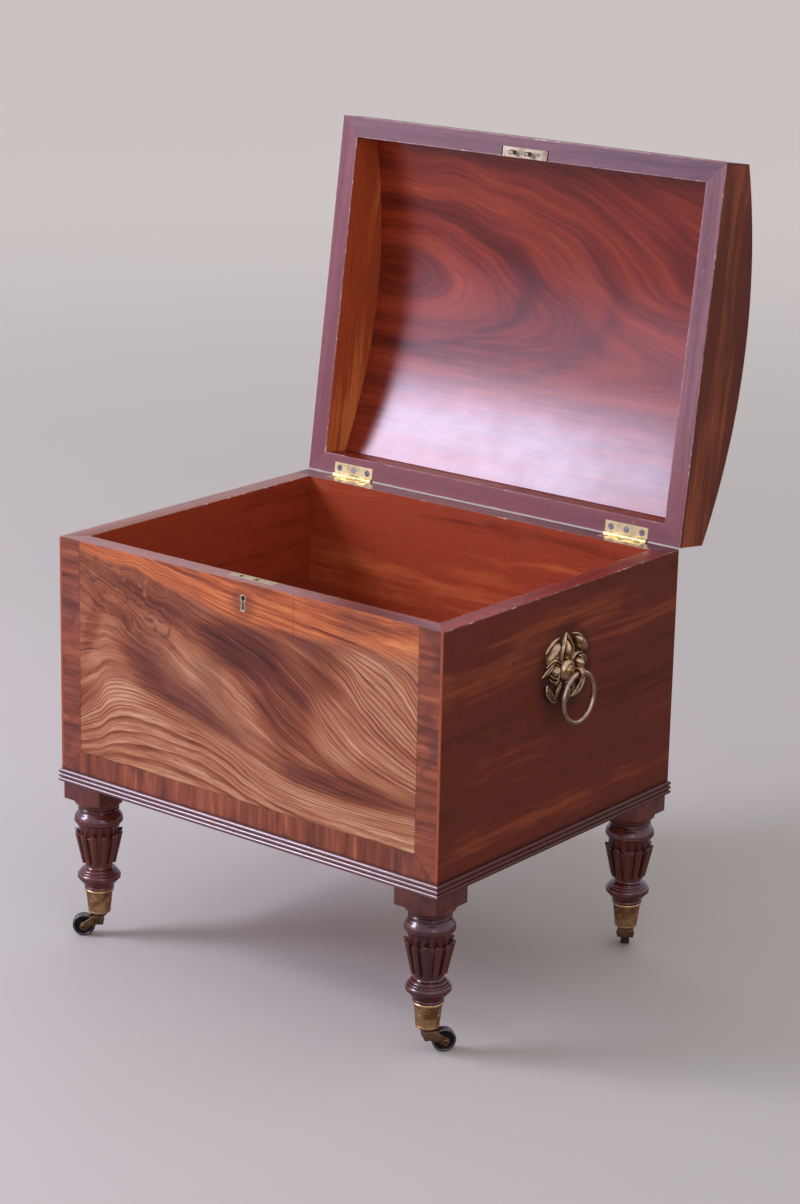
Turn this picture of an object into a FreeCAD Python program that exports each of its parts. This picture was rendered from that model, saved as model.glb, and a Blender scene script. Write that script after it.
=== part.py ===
import FreeCAD, Part
import math
import os

from FreeCAD import Placement, Rotation, Vector

# Cellarette: a mahogany box with a barrel lid on four reeded legs with brass castors.
# Millimetres. The origin is on the floor under the middle of the carcass, the front faces -Y, +Z is up.
# The lid is built closed and then turned back on its hinges, because it stands open at rest.

# Carcass
width, depth = 560.0, 442.0          # outside faces of the box
wall = 24.5                          # thickness of every board of the box and of the lid's frame
veneer = 1.2
base_z, moulding_top, rim_z = 196.0, 212.0, 495.0
bottom_thickness = 10.0
crossband_width, crossband_bottom = 31.0, 28.0
stringing = 3.0

# Base frame and its reeded moulding
moulding_proud, moulding_depth, reeds_in_moulding = 3.0, 9.0, 3
base_rail_width = 60.0

# Lid
lid_open_deg = 97.7
lid_gap = 0.5                        # between the two rims when it is closed
lid_rail_height, lid_rise = 48.0, 42.5
lid_top_thickness = 17.8

# Hinges
hinge_centres_x = (-208.0, 204.5)
leaf_length, leaf_width, leaf_thickness = 60.0, 15.0, 2.0
knuckles, knuckle_radius, knuckle_gap = 5, 2.75, 0.3
hinge_pin_radius, hinge_bore_radius, knuckle_room = 1.25, 1.3, 3.1
screw_head_radius, screw_shank_radius, screw_length = 4.2, 1.5, 14.0
hinge_screw_pitch = 22.0

# Legs
leg_block, leg_inset, block_bottom = 57.4, (1.8, 0.8), 175.0
dowel_radius, dowel_length = 10.0, 12.0
reeds_on_leg = 12
crown_z, reed_foot_z = 130.0, 95.0   # the reeds stand free of the neck above the crown
reed_half_width = (3.0, 4.1)         # at the foot and at the crown
leg_foot_z, leg_shoulder_z = 36.2, 61.0

# Castors
cup_bottom_z, cup_floor, cup_screw_z = 30.4, 3.0, 47.0
pivot_radius, pivot_bore_radius = 2.4, 2.46
horn_plate_radius, horn_plate_z = 9.0, (26.4, 29.9)
horn_stem_back, horn_stem_front, horn_stem_z = -5.0, 3.4, 16.2
horn_half_width, horn_arm = 9.7, 3.0
wheel_radius, wheel_width, wheel_dish, trail = 13.5, 10.5, 3.0, 18.5
axle_radius, axle_bore_radius = 2.0, 2.08
axle_head_radius, axle_boss_radius = 3.0, 4.8
trail_directions_deg = {"front_right": 52.0, "front_left": 220.0, "back_right": 124.0, "back_left": 140.0}

# Lock
lock_half_width, lock_height, lock_depth = 32.0, 46.0, 12.0
lock_plate, lock_wall, lock_case_half_width = 2.0, 1.5, 27.5
staple_centres_x = (-16.5, 5.8)
staple = {"thick": 3.0, "deep": 5.0, "drop": 10.0}
slot_room = 0.75
link_half_width, link_recess_gap = 32.7, 1.5
link_screws_x = (-23.9, -3.8, 20.4)
keyhole_x, keyhole_z, keyhole_drop = 1.4, 476.4, 14.9
escutcheon_wall, escutcheon_depth = 1.0, 4.0

# Side handles
handle_z = 403.0
rosette_radius, rosette_plate, rosette_lift = 31.0, 2.0, 2.5
rosette_middle = (                   # buds and leaves: both ends (y, z) from the centre, both radii
    ((0.0, 15.0), (0.0, 30.5), 5.2, 3.0),
    ((0.0, -13.0), (0.0, -39.0), 5.0, 2.2))
rosette_side = (
    ((34.0, 17.5), (21.0, 30.0), 5.0, 6.6),
    ((10.0, 8.0), (2.0, 38.0), 3.0, 2.4),
    ((19.0, 6.5), (25.5, 0.5), 5.6, 6.2),
    ((28.0, 8.0), (40.0, 0.5), 4.2, 1.6),
    ((32.5, -13.0), (29.0, -23.0), 3.4, 4.8),
    ((29.0, -23.0), (15.5, -33.5), 4.8, 2.2))
ring_wire_radius, ring_mean_radius, ring_stand_off = 3.0, 28.5, 21.0
eye_bore_radius, eye_radius, eye_width = 3.6, 7.0, 7.0
stud_radius, nut_radius, nut_thickness = 2.5, 6.5, 4.0

half_width, half_depth = width / 2, depth / 2
lid_z = rim_z + lid_gap
pivot = Vector(0, half_depth + 1, rim_z + lid_gap / 2)
barrel_radius = (half_depth ** 2 + lid_rise ** 2) / (2 * lid_rise)
barrel_axis_z = lid_z + lid_rail_height + lid_rise - barrel_radius
flame_half_width = half_width - crossband_width
hinge_y = (half_depth - leaf_width, half_depth)
lock_y = (-half_depth + wall - lock_depth, -half_depth + wall)
lock_top_y = (lock_y[0] + lock_y[1]) / 2
corners = {"front_left": (-1, -1), "front_right": (1, -1), "back_left": (-1, 1), "back_right": (1, 1)}


def box(x, y, z):
    solid = Part.makeBox(x[1] - x[0], y[1] - y[0], z[1] - z[0])
    solid.translate(Vector(x[0], y[0], z[0]))
    return solid


def prism(outline, z0, z1):
    points = [Vector(x, y, z0) for x, y in outline]
    return Part.Face(Part.makePolygon(points + points[:1])).extrude(Vector(0, 0, z1 - z0))


def cylinder(radius, start, end):
    start, along = Vector(*start), Vector(*end) - Vector(*start)
    return Part.makeCylinder(radius, along.Length, start, along)


def cone(radius_start, radius_end, start, end):
    start, along = Vector(*start), Vector(*end) - Vector(*start)
    return Part.makeCone(radius_start, radius_end, along.Length, start, along)


def turned(start, path):
    # A solid of revolution about Z. A path step is (radius, z) for a straight line
    # or (mid radius, mid z, radius, z) for an arc through the middle point.
    here, edges = Vector(start[0], 0, start[1]), []
    first = here
    for step in path:
        there = Vector(step[-2], 0, step[-1])
        if len(step) == 4:
            edges.append(Part.Arc(here, Vector(step[0], 0, step[1]), there).toShape())
        else:
            edges.append(Part.LineSegment(here, there).toShape())
        here = there
    edges.append(Part.LineSegment(here, first).toShape())
    return Part.Face(Part.Wire(edges)).revolve(Vector(0, 0, 0), Vector(0, 0, 1), 360)


def fused(shapes):
    return shapes[0].multiFuse(shapes[1:]).removeSplitter()


def cut(shape, tools):
    return shape.cut(Part.makeCompound(tools))


def turned_about_z(shape, degrees, offset=(0, 0, 0)):
    copy = shape.copy()
    copy.Placement = Placement(Vector(*offset), Rotation(Vector(0, 0, 1), degrees)).multiply(copy.Placement)
    return copy


def opened(shape):
    copy = shape.copy()
    copy.rotate(pivot, Vector(1, 0, 0), -lid_open_deg)
    return copy


def export(name, shapes):
    shapes = shapes if isinstance(shapes, list) else [shapes]
    solids = [solid for shape in shapes for solid in shape.Solids]
    part = solids[0] if len(solids) == 1 else Part.makeCompound(solids)
    if not part.isValid():
        print("not valid:", name)
    part.exportStep(f"parts/{name}.step")


def countersunk(point, direction):
    # A wood screw whose flat head is flush at the point and whose shank runs along the direction.
    start, way = Vector(*point), Vector(*direction)
    head = leaf_thickness
    taper = cone(screw_head_radius, screw_shank_radius, start, start + way * head)
    shank = cylinder(screw_shank_radius, start + way * head, start + way * screw_length)
    return fused([taper, shank])


def mitred(half_length, offset, thickness, z0, z1, degrees=0.0):
    # A rail with mitred ends; at 0 degrees it is the front one, with its outside face at y = -offset.
    inner = half_length - thickness
    outline = [(-half_length, -offset), (half_length, -offset), (inner, thickness - offset),
               (-inner, thickness - offset)]
    return turned_about_z(prism(outline, z0, z1), degrees)


# The barrel lid

def under_barrel(x, y, drop=0.0):
    # Everything above the lid's rim and under its curved top, lowered by drop.
    radius = barrel_radius - drop

    def on_arc(at):
        return Vector(x[0], at, barrel_axis_z + math.sqrt(radius ** 2 - at ** 2))

    ends = [Vector(x[0], y[0], lid_z), Vector(x[0], y[1], lid_z)]
    arc = Part.Arc(on_arc(y[0]), on_arc((y[0] + y[1]) / 2), on_arc(y[1])).toShape()
    sides = [Part.LineSegment(ends[0], on_arc(y[0])).toShape(), arc,
             Part.LineSegment(on_arc(y[1]), ends[1]).toShape(), Part.LineSegment(ends[1], ends[0]).toShape()]
    return Part.Face(Part.Wire(sides)).extrude(Vector(x[1] - x[0], 0, 0))


def barrel_sheet(x, y, drop, thickness):
    return under_barrel(x, y, drop).cut(under_barrel((x[0] - 1, x[1] + 1), (y[0] - 1, y[1] + 1), drop + thickness))


def end_board(side, z0, z1):
    # A side of the box or the lid, mitred to the front and back; the front veneer laps its front edge.
    x = side * half_width
    inner, lap = x - side * wall, x - side * veneer
    front = -half_depth + veneer
    return prism([(inner, -half_depth + wall), (inner, half_depth - wall), (x, half_depth), (x, front),
                  (lap, front)], z0, z1)


def front_ground(z0, z1):
    return mitred(half_width - veneer, half_depth - veneer, wall - veneer, z0, z1)


def back_rail(z0, z1):
    return mitred(half_width, half_depth, wall, z0, z1, 180)


# Hinges, built closed at one hinge's centre

def hinge_knuckles(odd):
    pitch = leaf_length / knuckles
    for i in range(knuckles):
        if (i % 2 == 0) == odd:
            x0 = -leaf_length / 2 + i * pitch
            yield (x0 + knuckle_gap / 2, x0 + pitch - knuckle_gap / 2)


def hinge_leaf(lower):
    z = (rim_z - leaf_thickness, rim_z) if lower else (lid_z, lid_z + leaf_thickness)
    leaf = [box((-leaf_length / 2, leaf_length / 2), (hinge_y[0], pivot.y), z)]
    for x0, x1 in hinge_knuckles(not lower):
        room = cylinder(knuckle_radius + knuckle_gap, (x0 - knuckle_gap, pivot.y, pivot.z),
                        (x1 + knuckle_gap, pivot.y, pivot.z))
        leaf[0] = leaf[0].cut(room)
    for x0, x1 in hinge_knuckles(lower):
        leaf.append(cylinder(knuckle_radius, (x0, pivot.y, pivot.z), (x1, pivot.y, pivot.z)))
    bore = cylinder(hinge_bore_radius, (-leaf_length, pivot.y, pivot.z), (leaf_length, pivot.y, pivot.z))
    return cut(fused(leaf), [bore] + hinge_screws(lower))


def hinge_screws(lower):
    z, way = (rim_z, -1) if lower else (lid_z, 1)
    y = (hinge_y[0] + hinge_y[1]) / 2 - 0.5
    return [countersunk((i * hinge_screw_pitch, y, z), (0, 0, way)) for i in (-1, 0, 1)]


def hinge_recess(lower):
    z = (rim_z - leaf_thickness, rim_z) if lower else (lid_z, lid_z + leaf_thickness)
    half = leaf_length / 2
    plate = box((-half, half), hinge_y, z)
    room = cylinder(knuckle_room, (-half - knuckle_gap, pivot.y, pivot.z), (half + knuckle_gap, pivot.y, pivot.z))
    return [plate, room] + hinge_screws(lower)


def at_hinges(shapes):
    shapes = shapes if isinstance(shapes, list) else [shapes]
    moved = []
    for x in hinge_centres_x:
        for shape in shapes:
            copy = shape.copy()
            copy.translate(Vector(x, 0, 0))
            moved.append(copy)
    return moved


# Lock, keyhole and link plate

def keyhole(margin, y):
    head, top, foot = 3.3 + margin, 1.3 + margin, 2.2 + margin
    bottom = keyhole_z - keyhole_drop + 1.0 - margin
    throat = keyhole_z - 2.0
    outline = [Vector(keyhole_x + x, y[0], z) for x, z in
               ((-foot, bottom), (foot, bottom), (top, throat), (-top, throat))]
    slot = Part.Face(Part.makePolygon(outline + outline[:1])).extrude(Vector(0, y[1] - y[0], 0))
    return fused([cylinder(head, (keyhole_x, y[0], keyhole_z), (keyhole_x, y[1], keyhole_z)), slot])


def lock_screws():
    inside, screws = lock_y[1], []
    for x in (-1, 1):
        for z in (rim_z - lock_height + 8, rim_z - 9):
            x0 = x * (lock_half_width - 2.3)
            head = cone(2.1, 1.1, (x0, inside, z), (x0, inside - lock_plate, z))
            shank = cylinder(1.1, (x0, inside - lock_plate, z), (x0, inside - lock_depth, z))
            screws.append(fused([head, shank]))
    return screws


def lock_envelope():
    # The lock's outside: selvedge and back plate in one, with the case on them.
    bottom = rim_z - lock_height
    full = (-lock_half_width, lock_half_width)
    selvedge = box(full, lock_y, (rim_z - lock_plate, rim_z))
    back_plate = box(full, (lock_y[1] - lock_plate, lock_y[1]), (bottom, rim_z))
    case = box((-lock_case_half_width, lock_case_half_width), lock_y, (bottom + 4, rim_z))
    return fused([selvedge, back_plate, case])


def lock_case():
    inner = lock_case_half_width - lock_wall
    hollow = box((-inner, inner), (lock_y[0] + lock_wall, lock_y[1] - lock_plate),
                 (rim_z - lock_height + 4 + lock_wall, rim_z - lock_plate))
    slots = []
    for x in staple_centres_x:
        reach, across = staple["thick"] / 2 + slot_room, staple["deep"] / 2 + slot_room
        slots.append(box((x - reach, x + reach), (lock_top_y - across, lock_top_y + across),
                         (rim_z - lock_plate - 1, rim_z + 1)))
    front_hole = keyhole(0.0, (lock_y[0] - 1, lock_y[0] + lock_wall + 0.5))
    return cut(lock_envelope(), [hollow, front_hole] + slots + lock_screws())


def lock_bolt():
    # A bar with two hooks that slide through the eyes of the link plate's staples.
    z_eye, half = rim_z - 5.7, 2.5
    y = (lock_top_y - half + 1.0, lock_top_y + half - 1.0)
    pieces = [box((staple_centres_x[0] - 9, staple_centres_x[1] + 3), y, (z_eye - 9, z_eye - 4.6))]
    for x in staple_centres_x:
        pieces.append(box((x - 9, x - 6.2), y, (z_eye - 5, z_eye + 1.6)))
        finger = (lock_top_y - 1.1, lock_top_y + 1.1)
        pieces.append(box((x - 7, x - 2.2), finger, (z_eye - 1.6, z_eye + 1.6)))
    return fused(pieces)


def link_plate():
    y = lock_y
    plate = box((-link_half_width, link_half_width), y, (lid_z, lid_z + lock_plate))
    pieces, eyes = [plate], []
    for x in staple_centres_x:
        reach, across = staple["thick"] / 2, staple["deep"] / 2
        pieces.append(box((x - reach, x + reach), (lock_top_y - across, lock_top_y + across),
                          (lid_z - staple["drop"], lid_z)))
        eyes.append(box((x - reach - 1, x + reach + 1), (lock_top_y - 1.6, lock_top_y + 1.6),
                        (lid_z - staple["drop"] + 1.6, lid_z - 3.6)))
    return cut(fused(pieces), eyes + link_screws())


def link_screws():
    screws = []
    for x in link_screws_x:
        head = cone(2.3, 1.2, (x, lock_top_y, lid_z), (x, lock_top_y, lid_z + lock_plate))
        shank = cylinder(1.2, (x, lock_top_y, lid_z + lock_plate), (x, lock_top_y, lid_z + 13))
        screws.append(fused([head, shank]))
    return screws


def link_recess():
    half = link_half_width + link_recess_gap
    return box((-half, half), lock_y, (lid_z, lid_z + lock_plate))


# Legs and castors, built on the axis of one leg with the castor trailing towards +X

def leg():
    half = leg_block / 2
    block = box((-half, half), (-half, half), (block_bottom, base_z))
    dowel = cylinder(dowel_radius, (0, 0, base_z), (0, 0, base_z + dowel_length))
    turning = turned((0, block_bottom), [
        (28.6, block_bottom), (28.6, 171.0), (25.2, 169.2, 24.0, 165.6),       # collet and cove
        (23.0, 165.2), (23.0, 164.4), (24.3, 163.2, 23.2, 162.0),              # bead
        (22.6, 161.4), (22.6, 160.4), (23.8, 159.8),                           # quirk
        (27.3, 155.0, 28.6, 148.8), (28.3, 146.9, 27.2, 145.8),                # upper ring
        (22.4, 135.0), (22.2, crown_z), (24.2, crown_z), (16.4, reed_foot_z),  # neck, core of the reeds
        (15.4, 93.0), (15.2, 90.4), (16.4, 88.0, 18.4, 87.0),                  # lower neck
        (18.8, 86.4), (20.3, 85.8, 20.9, 84.4), (21.4, 84.0), (22.7, 83.3, 23.1, 82.0),
        (23.5, 81.8), (25.2, 80.0, 25.4, 76.5), (25.2, 75.1, 24.2, 74.2),      # lower ring
        (16.9, 65.6), (16.9, leg_shoulder_z), (14.4, leg_shoulder_z), (11.4, leg_foot_z), (0, leg_foot_z)])
    reed = leg_reed()
    reeds = [turned_about_z(reed, i * 360 / reeds_on_leg) for i in range(reeds_on_leg)]
    return cut(fused([block, dowel, turning] + reeds), cup_screws())


def leg_reed():
    # One tapered flat reed with an arched top, cut out of a conical ring that widens upwards.
    foot, top = reed_half_width
    corner = [Vector(0, -foot, reed_foot_z), Vector(0, foot, reed_foot_z), Vector(0, top, crown_z),
              Vector(0, -top, crown_z)]
    arch = Part.Arc(corner[2], Vector(0, 0, crown_z + top), corner[3]).toShape()
    sides = [Part.LineSegment(corner[i], corner[j]).toShape() for i, j in ((0, 1), (1, 2), (3, 0))]
    outline = Part.Face(Part.Wire([sides[0], sides[1], arch, sides[2]]))
    ring = turned((15.9, reed_foot_z), [(19.6, reed_foot_z), (28.4, crown_z + 5), (24.7, crown_z + 5)])
    return outline.extrude(Vector(40, 0, 0)).common(ring)


def cup():
    outside = turned((0, cup_bottom_z), [
        (12.0, cup_bottom_z), (13.1, 30.9, 13.4, 32.4), (13.4, 34.0), (15.7, 56.4), (16.2, 57.6),
        (17.2, 58.8), (17.2, leg_shoulder_z), (0, leg_shoulder_z)])
    foot = turned((0, leg_foot_z), [(11.4, leg_foot_z), (14.4, leg_shoulder_z), (0, leg_shoulder_z)])
    well = cylinder(8.0, (0, 0, cup_bottom_z + cup_floor), (0, 0, leg_foot_z))
    pin_hole = cylinder(pivot_radius, (0, 0, cup_bottom_z - 1), (0, 0, cup_bottom_z + cup_floor))
    return cut(outside, [foot, well, pin_hole] + cup_screws())


def cup_screws():
    screws = []
    for side in (-1, 1):
        for across in (0, 1):
            way = Vector(0, side, 0) if across else Vector(side, 0, 0)
            lift = Vector(0, 0, cup_screw_z)
            shank = cylinder(0.9, way * 8 + lift, way * 14.2 + lift)
            head = cylinder(1.6, way * 13.8 + lift, way * 15.0 + lift)
            screws.append(fused([shank, head]))
    return screws


def pivot_pin():
    top = cup_bottom_z + cup_floor
    head = cylinder(5.0, (0, 0, top), (0, 0, top + 2))
    shank = cylinder(pivot_radius, (0, 0, horn_stem_z - 1.8), (0, 0, top))
    rivet = cylinder(3.2, (0, 0, horn_stem_z - 1.8), (0, 0, horn_stem_z - 0.3))
    return fused([head, shank, rivet])


def horn():
    plate = cylinder(horn_plate_radius, (0, 0, horn_plate_z[0]), (0, 0, horn_plate_z[1]))
    stem = box((horn_stem_back, horn_stem_front), (-horn_half_width, horn_half_width),
               (horn_stem_z, horn_plate_z[0]))
    pieces = [plate, stem]
    for side in (-1, 1):
        y0 = side * horn_half_width
        y1 = side * (horn_half_width - horn_arm)
        outline = [Vector(x, y0, z) for x, z in
                   ((horn_stem_front, horn_stem_z), (trail, wheel_radius - axle_boss_radius),
                    (trail, wheel_radius + axle_boss_radius), (horn_stem_front, horn_plate_z[0]))]
        pieces.append(Part.Face(Part.makePolygon(outline + outline[:1])).extrude(Vector(0, y1 - y0, 0)))
        pieces.append(cylinder(axle_boss_radius, (trail, y0, wheel_radius), (trail, y1, wheel_radius)))
    bore = cylinder(pivot_bore_radius, (0, 0, 0), (0, 0, cup_bottom_z))
    return cut(fused(pieces), [bore, axle()])


def axle():
    half = horn_half_width
    shank = cylinder(axle_radius, (trail, -half, wheel_radius), (trail, half, wheel_radius))
    heads = [cylinder(axle_head_radius, (trail, side * half, wheel_radius), (trail, side * (half + 0.8), wheel_radius))
             for side in (-1, 1)]
    return fused([shank] + heads)


def wheel():
    half, edge, web = wheel_width / 2, 1.2, wheel_width / 2 - wheel_dish
    profile = turned((axle_bore_radius, -half), [
        (4.6, -half), (4.6, -web), (8.6, -web), (11.2, -half), (wheel_radius - edge, -half),
        (wheel_radius - 0.4, -half + 0.4, wheel_radius, -half + edge), (wheel_radius, half - edge),
        (wheel_radius - 0.4, half - 0.4, wheel_radius - edge, half), (11.2, half), (8.6, web),
        (4.6, web), (4.6, half), (axle_bore_radius, half)])
    profile.rotate(Vector(0, 0, 0), Vector(1, 0, 0), 90)
    profile.translate(Vector(trail, 0, wheel_radius))
    return profile


def leg_centre(corner):
    inset = [gap + leg_block / 2 for gap in leg_inset]
    return corners[corner][0] * (half_width - inset[0]), corners[corner][1] * (half_depth - inset[1])


def at_leg(shape, corner, degrees=0.0):
    return turned_about_z(shape, degrees, (*leg_centre(corner), 0))


# Side handles, built for the right side and turned half round for the left

def bud(start, end, radius_start, radius_end):
    x0 = half_width + rosette_lift
    ends = [Vector(x0, y, handle_z + z) for y, z in (start, end)]
    return fused([cone(radius_start, radius_end, *ends), Part.makeSphere(radius_start, ends[0]),
                  Part.makeSphere(radius_end, ends[1])])


def rosette():
    x0 = half_width
    plate = cylinder(rosette_radius, (x0, 0, handle_z), (x0 + rosette_plate, 0, handle_z))
    dome = turned((0, 0), [(17.0, 0), (11.0, 6.8, 0, 9.0)])
    dome.rotate(Vector(0, 0, 0), Vector(0, 1, 0), 90)
    dome.translate(Vector(x0, 0, handle_z))
    buds = [bud(*form) for form in rosette_middle]
    for side in (-1, 1):
        for start, end, radius_start, radius_end in rosette_side:
            buds.append(bud((side * start[0], start[1]), (side * end[0], end[1]), radius_start, radius_end))
    behind = box((x0 - 20, x0), (-60, 60), (handle_z - 60, handle_z + 60))
    seat = box((x0 + 9.0, x0 + 30), (-5, 5), (handle_z - 5, handle_z + 5))
    stud_hole = cylinder(stud_radius, (x0 - 1, 0, handle_z), (x0 + 20, 0, handle_z))
    return cut(fused([plate, dome] + buds), [behind, seat, stud_hole])


def handle_eye():
    x_ring, x_seat = half_width + ring_stand_off, half_width + 9.0
    loop = cylinder(eye_radius, (x_ring, -eye_width / 2, handle_z), (x_ring, eye_width / 2, handle_z))
    neck = cylinder(eye_width / 2 + 1.0, (x_seat, 0, handle_z), (x_ring - 3, 0, handle_z))
    stud = cylinder(stud_radius, (half_width - wall, 0, handle_z), (x_seat, 0, handle_z))
    hole = cylinder(eye_bore_radius, (x_ring, -20, handle_z), (x_ring, 20, handle_z))
    return cut(fused([loop, neck, stud]), [hole])


def handle_nut():
    x0 = half_width - wall
    nut = cylinder(nut_radius, (x0, 0, handle_z), (x0 + nut_thickness, 0, handle_z))
    return cut(nut, [cylinder(stud_radius, (x0 - 1, 0, handle_z), (half_width, 0, handle_z))])


def handle_ring():
    centre = Vector(half_width + ring_stand_off, 0, handle_z - ring_mean_radius)
    return Part.makeTorus(ring_mean_radius, ring_wire_radius, centre, Vector(1, 0, 0))


def handle_holes():
    x0 = half_width - wall
    return [cylinder(stud_radius, (x0 - 1, 0, handle_z), (half_width + 1, 0, handle_z)),
            cylinder(nut_radius, (x0 - 1, 0, handle_z), (x0 + nut_thickness, 0, handle_z))]


# What is written out

def write_box():
    front = front_ground(moulding_top, rim_z)
    keyway = keyhole(escutcheon_wall, (-half_depth - 1, lock_y[0]))
    export("front_board", cut(front, [lock_envelope(), keyway] + lock_screws()))
    export("back_board", cut(back_rail(moulding_top, rim_z), at_hinges(hinge_recess(True))))
    for name, side in (("left", -1), ("right", 1)):
        holes = [turned_about_z(hole, 0 if side > 0 else 180) for hole in handle_holes()]
        export(f"{name}_end_board", cut(end_board(side, moulding_top, rim_z), holes))
    inside = (half_width - wall, half_depth - wall)
    export("bottom_board", box((-inside[0], inside[0]), (-inside[1], inside[1]),
                               (moulding_top, moulding_top + bottom_thickness)))
    export("lock_case", lock_case())
    export("lock_bolt", lock_bolt())
    export("lock_screws", lock_screws())


def write_front_veneers():
    face = (-half_depth, -half_depth + veneer)
    foot = moulding_top + crossband_bottom
    edge, corner = flame_half_width, half_width - stringing
    keyway = keyhole(escutcheon_wall, (-half_depth - 1, lock_y[0]))
    export("front_veneer_panel", cut(box((-edge, edge), face, (foot, rim_z)), [keyway]))

    def sheet(outline):
        points = [Vector(x, face[0], z) for x, z in outline]
        return Part.Face(Part.makePolygon(points + points[:1])).extrude(Vector(0, veneer, 0))

    bands = [sheet([(-corner, moulding_top), (corner, moulding_top), (edge, foot), (-edge, foot)])]
    for side in (-1, 1):
        bands.append(sheet([(side * corner, moulding_top), (side * corner, rim_z), (side * edge, rim_z),
                            (side * edge, foot)]))
    export("front_crossbanding", bands)
    lines = [box((x, x + stringing), face, (moulding_top, rim_z)) for x in (-half_width, corner)]
    export("corner_stringing", lines)
    lining = keyhole(escutcheon_wall, (-half_depth, -half_depth + escutcheon_depth))
    export("keyhole_escutcheon", cut(lining, [keyhole(0.0, (-half_depth - 1, lock_y[0]))]))


def write_base():
    half_x = half_width + moulding_proud - moulding_depth
    half_y = half_depth + moulding_proud - moulding_depth
    sides = ((half_x, half_y, 0), (half_y, half_x, 90), (half_x, half_y, 180), (half_y, half_x, 270))
    dowels = [at_leg(cylinder(dowel_radius, (0, 0, base_z), (0, 0, base_z + dowel_length)), corner)
              for corner in corners]
    rails = [cut(mitred(length, offset, base_rail_width, base_z, moulding_top, degrees), dowels)
             for length, offset, degrees in sides]
    export("base_frame", rails)
    export("base_moulding", [moulding_strip(length + moulding_depth, offset + moulding_depth, degrees)
                             for length, offset, degrees in sides])


def moulding_strip(half_length, offset, degrees):
    # Half-round reeds, one above another, on the face of a mitred strip.
    pitch = (moulding_top - base_z) / reeds_in_moulding
    radius = pitch / 2
    root = -offset + radius
    strip = [mitred(half_length, offset, moulding_depth, base_z, moulding_top)]
    back = box((-half_length, half_length), (root, -offset + moulding_depth), (base_z, moulding_top))
    reeds = [cylinder(radius, (-half_length, root, base_z + pitch * (i + 0.5)),
                      (half_length, root, base_z + pitch * (i + 0.5))) for i in range(reeds_in_moulding)]
    return turned_about_z(strip[0].common(fused([back] + reeds)), degrees)


def write_legs():
    one_leg = leg()
    for corner in corners:
        export(f"leg_{corner}", at_leg(one_leg, corner))
        name = f"castor_{corner}"
        degrees = trail_directions_deg[corner]
        export(f"{name}_cup", at_leg(cup(), corner))
        export(f"{name}_horn", at_leg(horn(), corner, degrees))
        export(f"{name}_axle", at_leg(axle(), corner, degrees))
        export(f"{name}_wheel", at_leg(wheel(), corner, degrees))
    export("castor_pivot_pins", [at_leg(pivot_pin(), corner) for corner in corners])
    export("castor_cup_screws", [at_leg(screw, corner) for corner in corners for screw in cup_screws()])


def write_handles():
    for name, degrees in (("right", 0), ("left", 180)):
        export(f"handle_{name}_rosette", turned_about_z(rosette(), degrees))
        export(f"handle_{name}_eye", turned_about_z(handle_eye(), degrees))
        export(f"handle_{name}_ring", turned_about_z(handle_ring(), degrees))
    export("handle_nuts", [turned_about_z(handle_nut(), degrees) for degrees in (0, 180)])


def write_hinges():
    for lower, part in ((True, "lower"), (False, "upper")):
        for name, leaf in zip(("left", "right"), at_hinges(hinge_leaf(lower))):
            export(f"hinge_{name}_{part}_leaf", leaf if lower else opened(leaf))
    half = leaf_length / 2
    export("hinge_pins", at_hinges(cylinder(hinge_pin_radius, (-half, pivot.y, pivot.z), (half, pivot.y, pivot.z))))
    export("box_hinge_screws", at_hinges(hinge_screws(True)))
    export("lid_hinge_screws", [opened(screw) for screw in at_hinges(hinge_screws(False))])


def write_lid():
    top = lid_z + lid_rail_height + lid_rise
    under = under_barrel((-half_width, half_width), (-half_depth, half_depth), veneer)
    front = cut(front_ground(lid_z, top).common(under), [link_recess()] + link_screws())
    export("lid_front_rail", opened(front))
    back = cut(back_rail(lid_z, top).common(under), at_hinges(hinge_recess(False)))
    export("lid_back_rail", opened(back))
    for name, side in (("left", -1), ("right", 1)):
        export(f"lid_{name}_end", opened(end_board(side, lid_z, top).common(under)))
    x, y = half_width - wall, half_depth - wall
    export("lid_top_panel", opened(barrel_sheet((-x, x), (-y, y), veneer, lid_top_thickness - veneer)))
    export("link_plate", opened(link_plate()))
    export("link_plate_screws", [opened(screw) for screw in link_screws()])


def write_lid_veneers():
    under = under_barrel((-half_width, half_width), (-half_depth, half_depth), veneer)
    face = (-half_depth, -half_depth + veneer)
    edge, corner = flame_half_width, half_width - stringing
    top_edge = half_depth - crossband_bottom
    band_z = lid_z + lid_rail_height - crossband_bottom
    above = lid_z + lid_rail_height + lid_rise
    flames = [box((-edge, edge), face, (lid_z, band_z)),
              barrel_sheet((-edge, edge), (-top_edge, top_edge), 0, veneer)]
    export("lid_veneer", [opened(sheet) for sheet in flames])
    bands = [box((-edge, edge), face, (band_z, above)).common(under)]
    for x in ((-corner, -edge), (edge, corner)):
        bands.append(box(x, face, (lid_z, above)).common(under))
    for x in ((-half_width, -edge), (edge, half_width)):
        bands.append(barrel_sheet(x, (-half_depth, half_depth), 0, veneer))
    for y in ((-half_depth, -top_edge), (top_edge, half_depth)):
        bands.append(barrel_sheet((-edge, edge), y, 0, veneer))
    export("lid_crossbanding", [opened(band) for band in bands])
    lines = [box((x, x + stringing), face, (lid_z, above)).common(under) for x in (-half_width, corner)]
    export("lid_stringing", [opened(line) for line in lines])


os.makedirs("parts", exist_ok=True)
write_box()
write_front_veneers()
write_base()
write_legs()
write_handles()
write_hinges()
write_lid()
write_lid_veneers()
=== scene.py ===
import bpy
import bmesh
import math
from mathutils import Matrix, Vector


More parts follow.
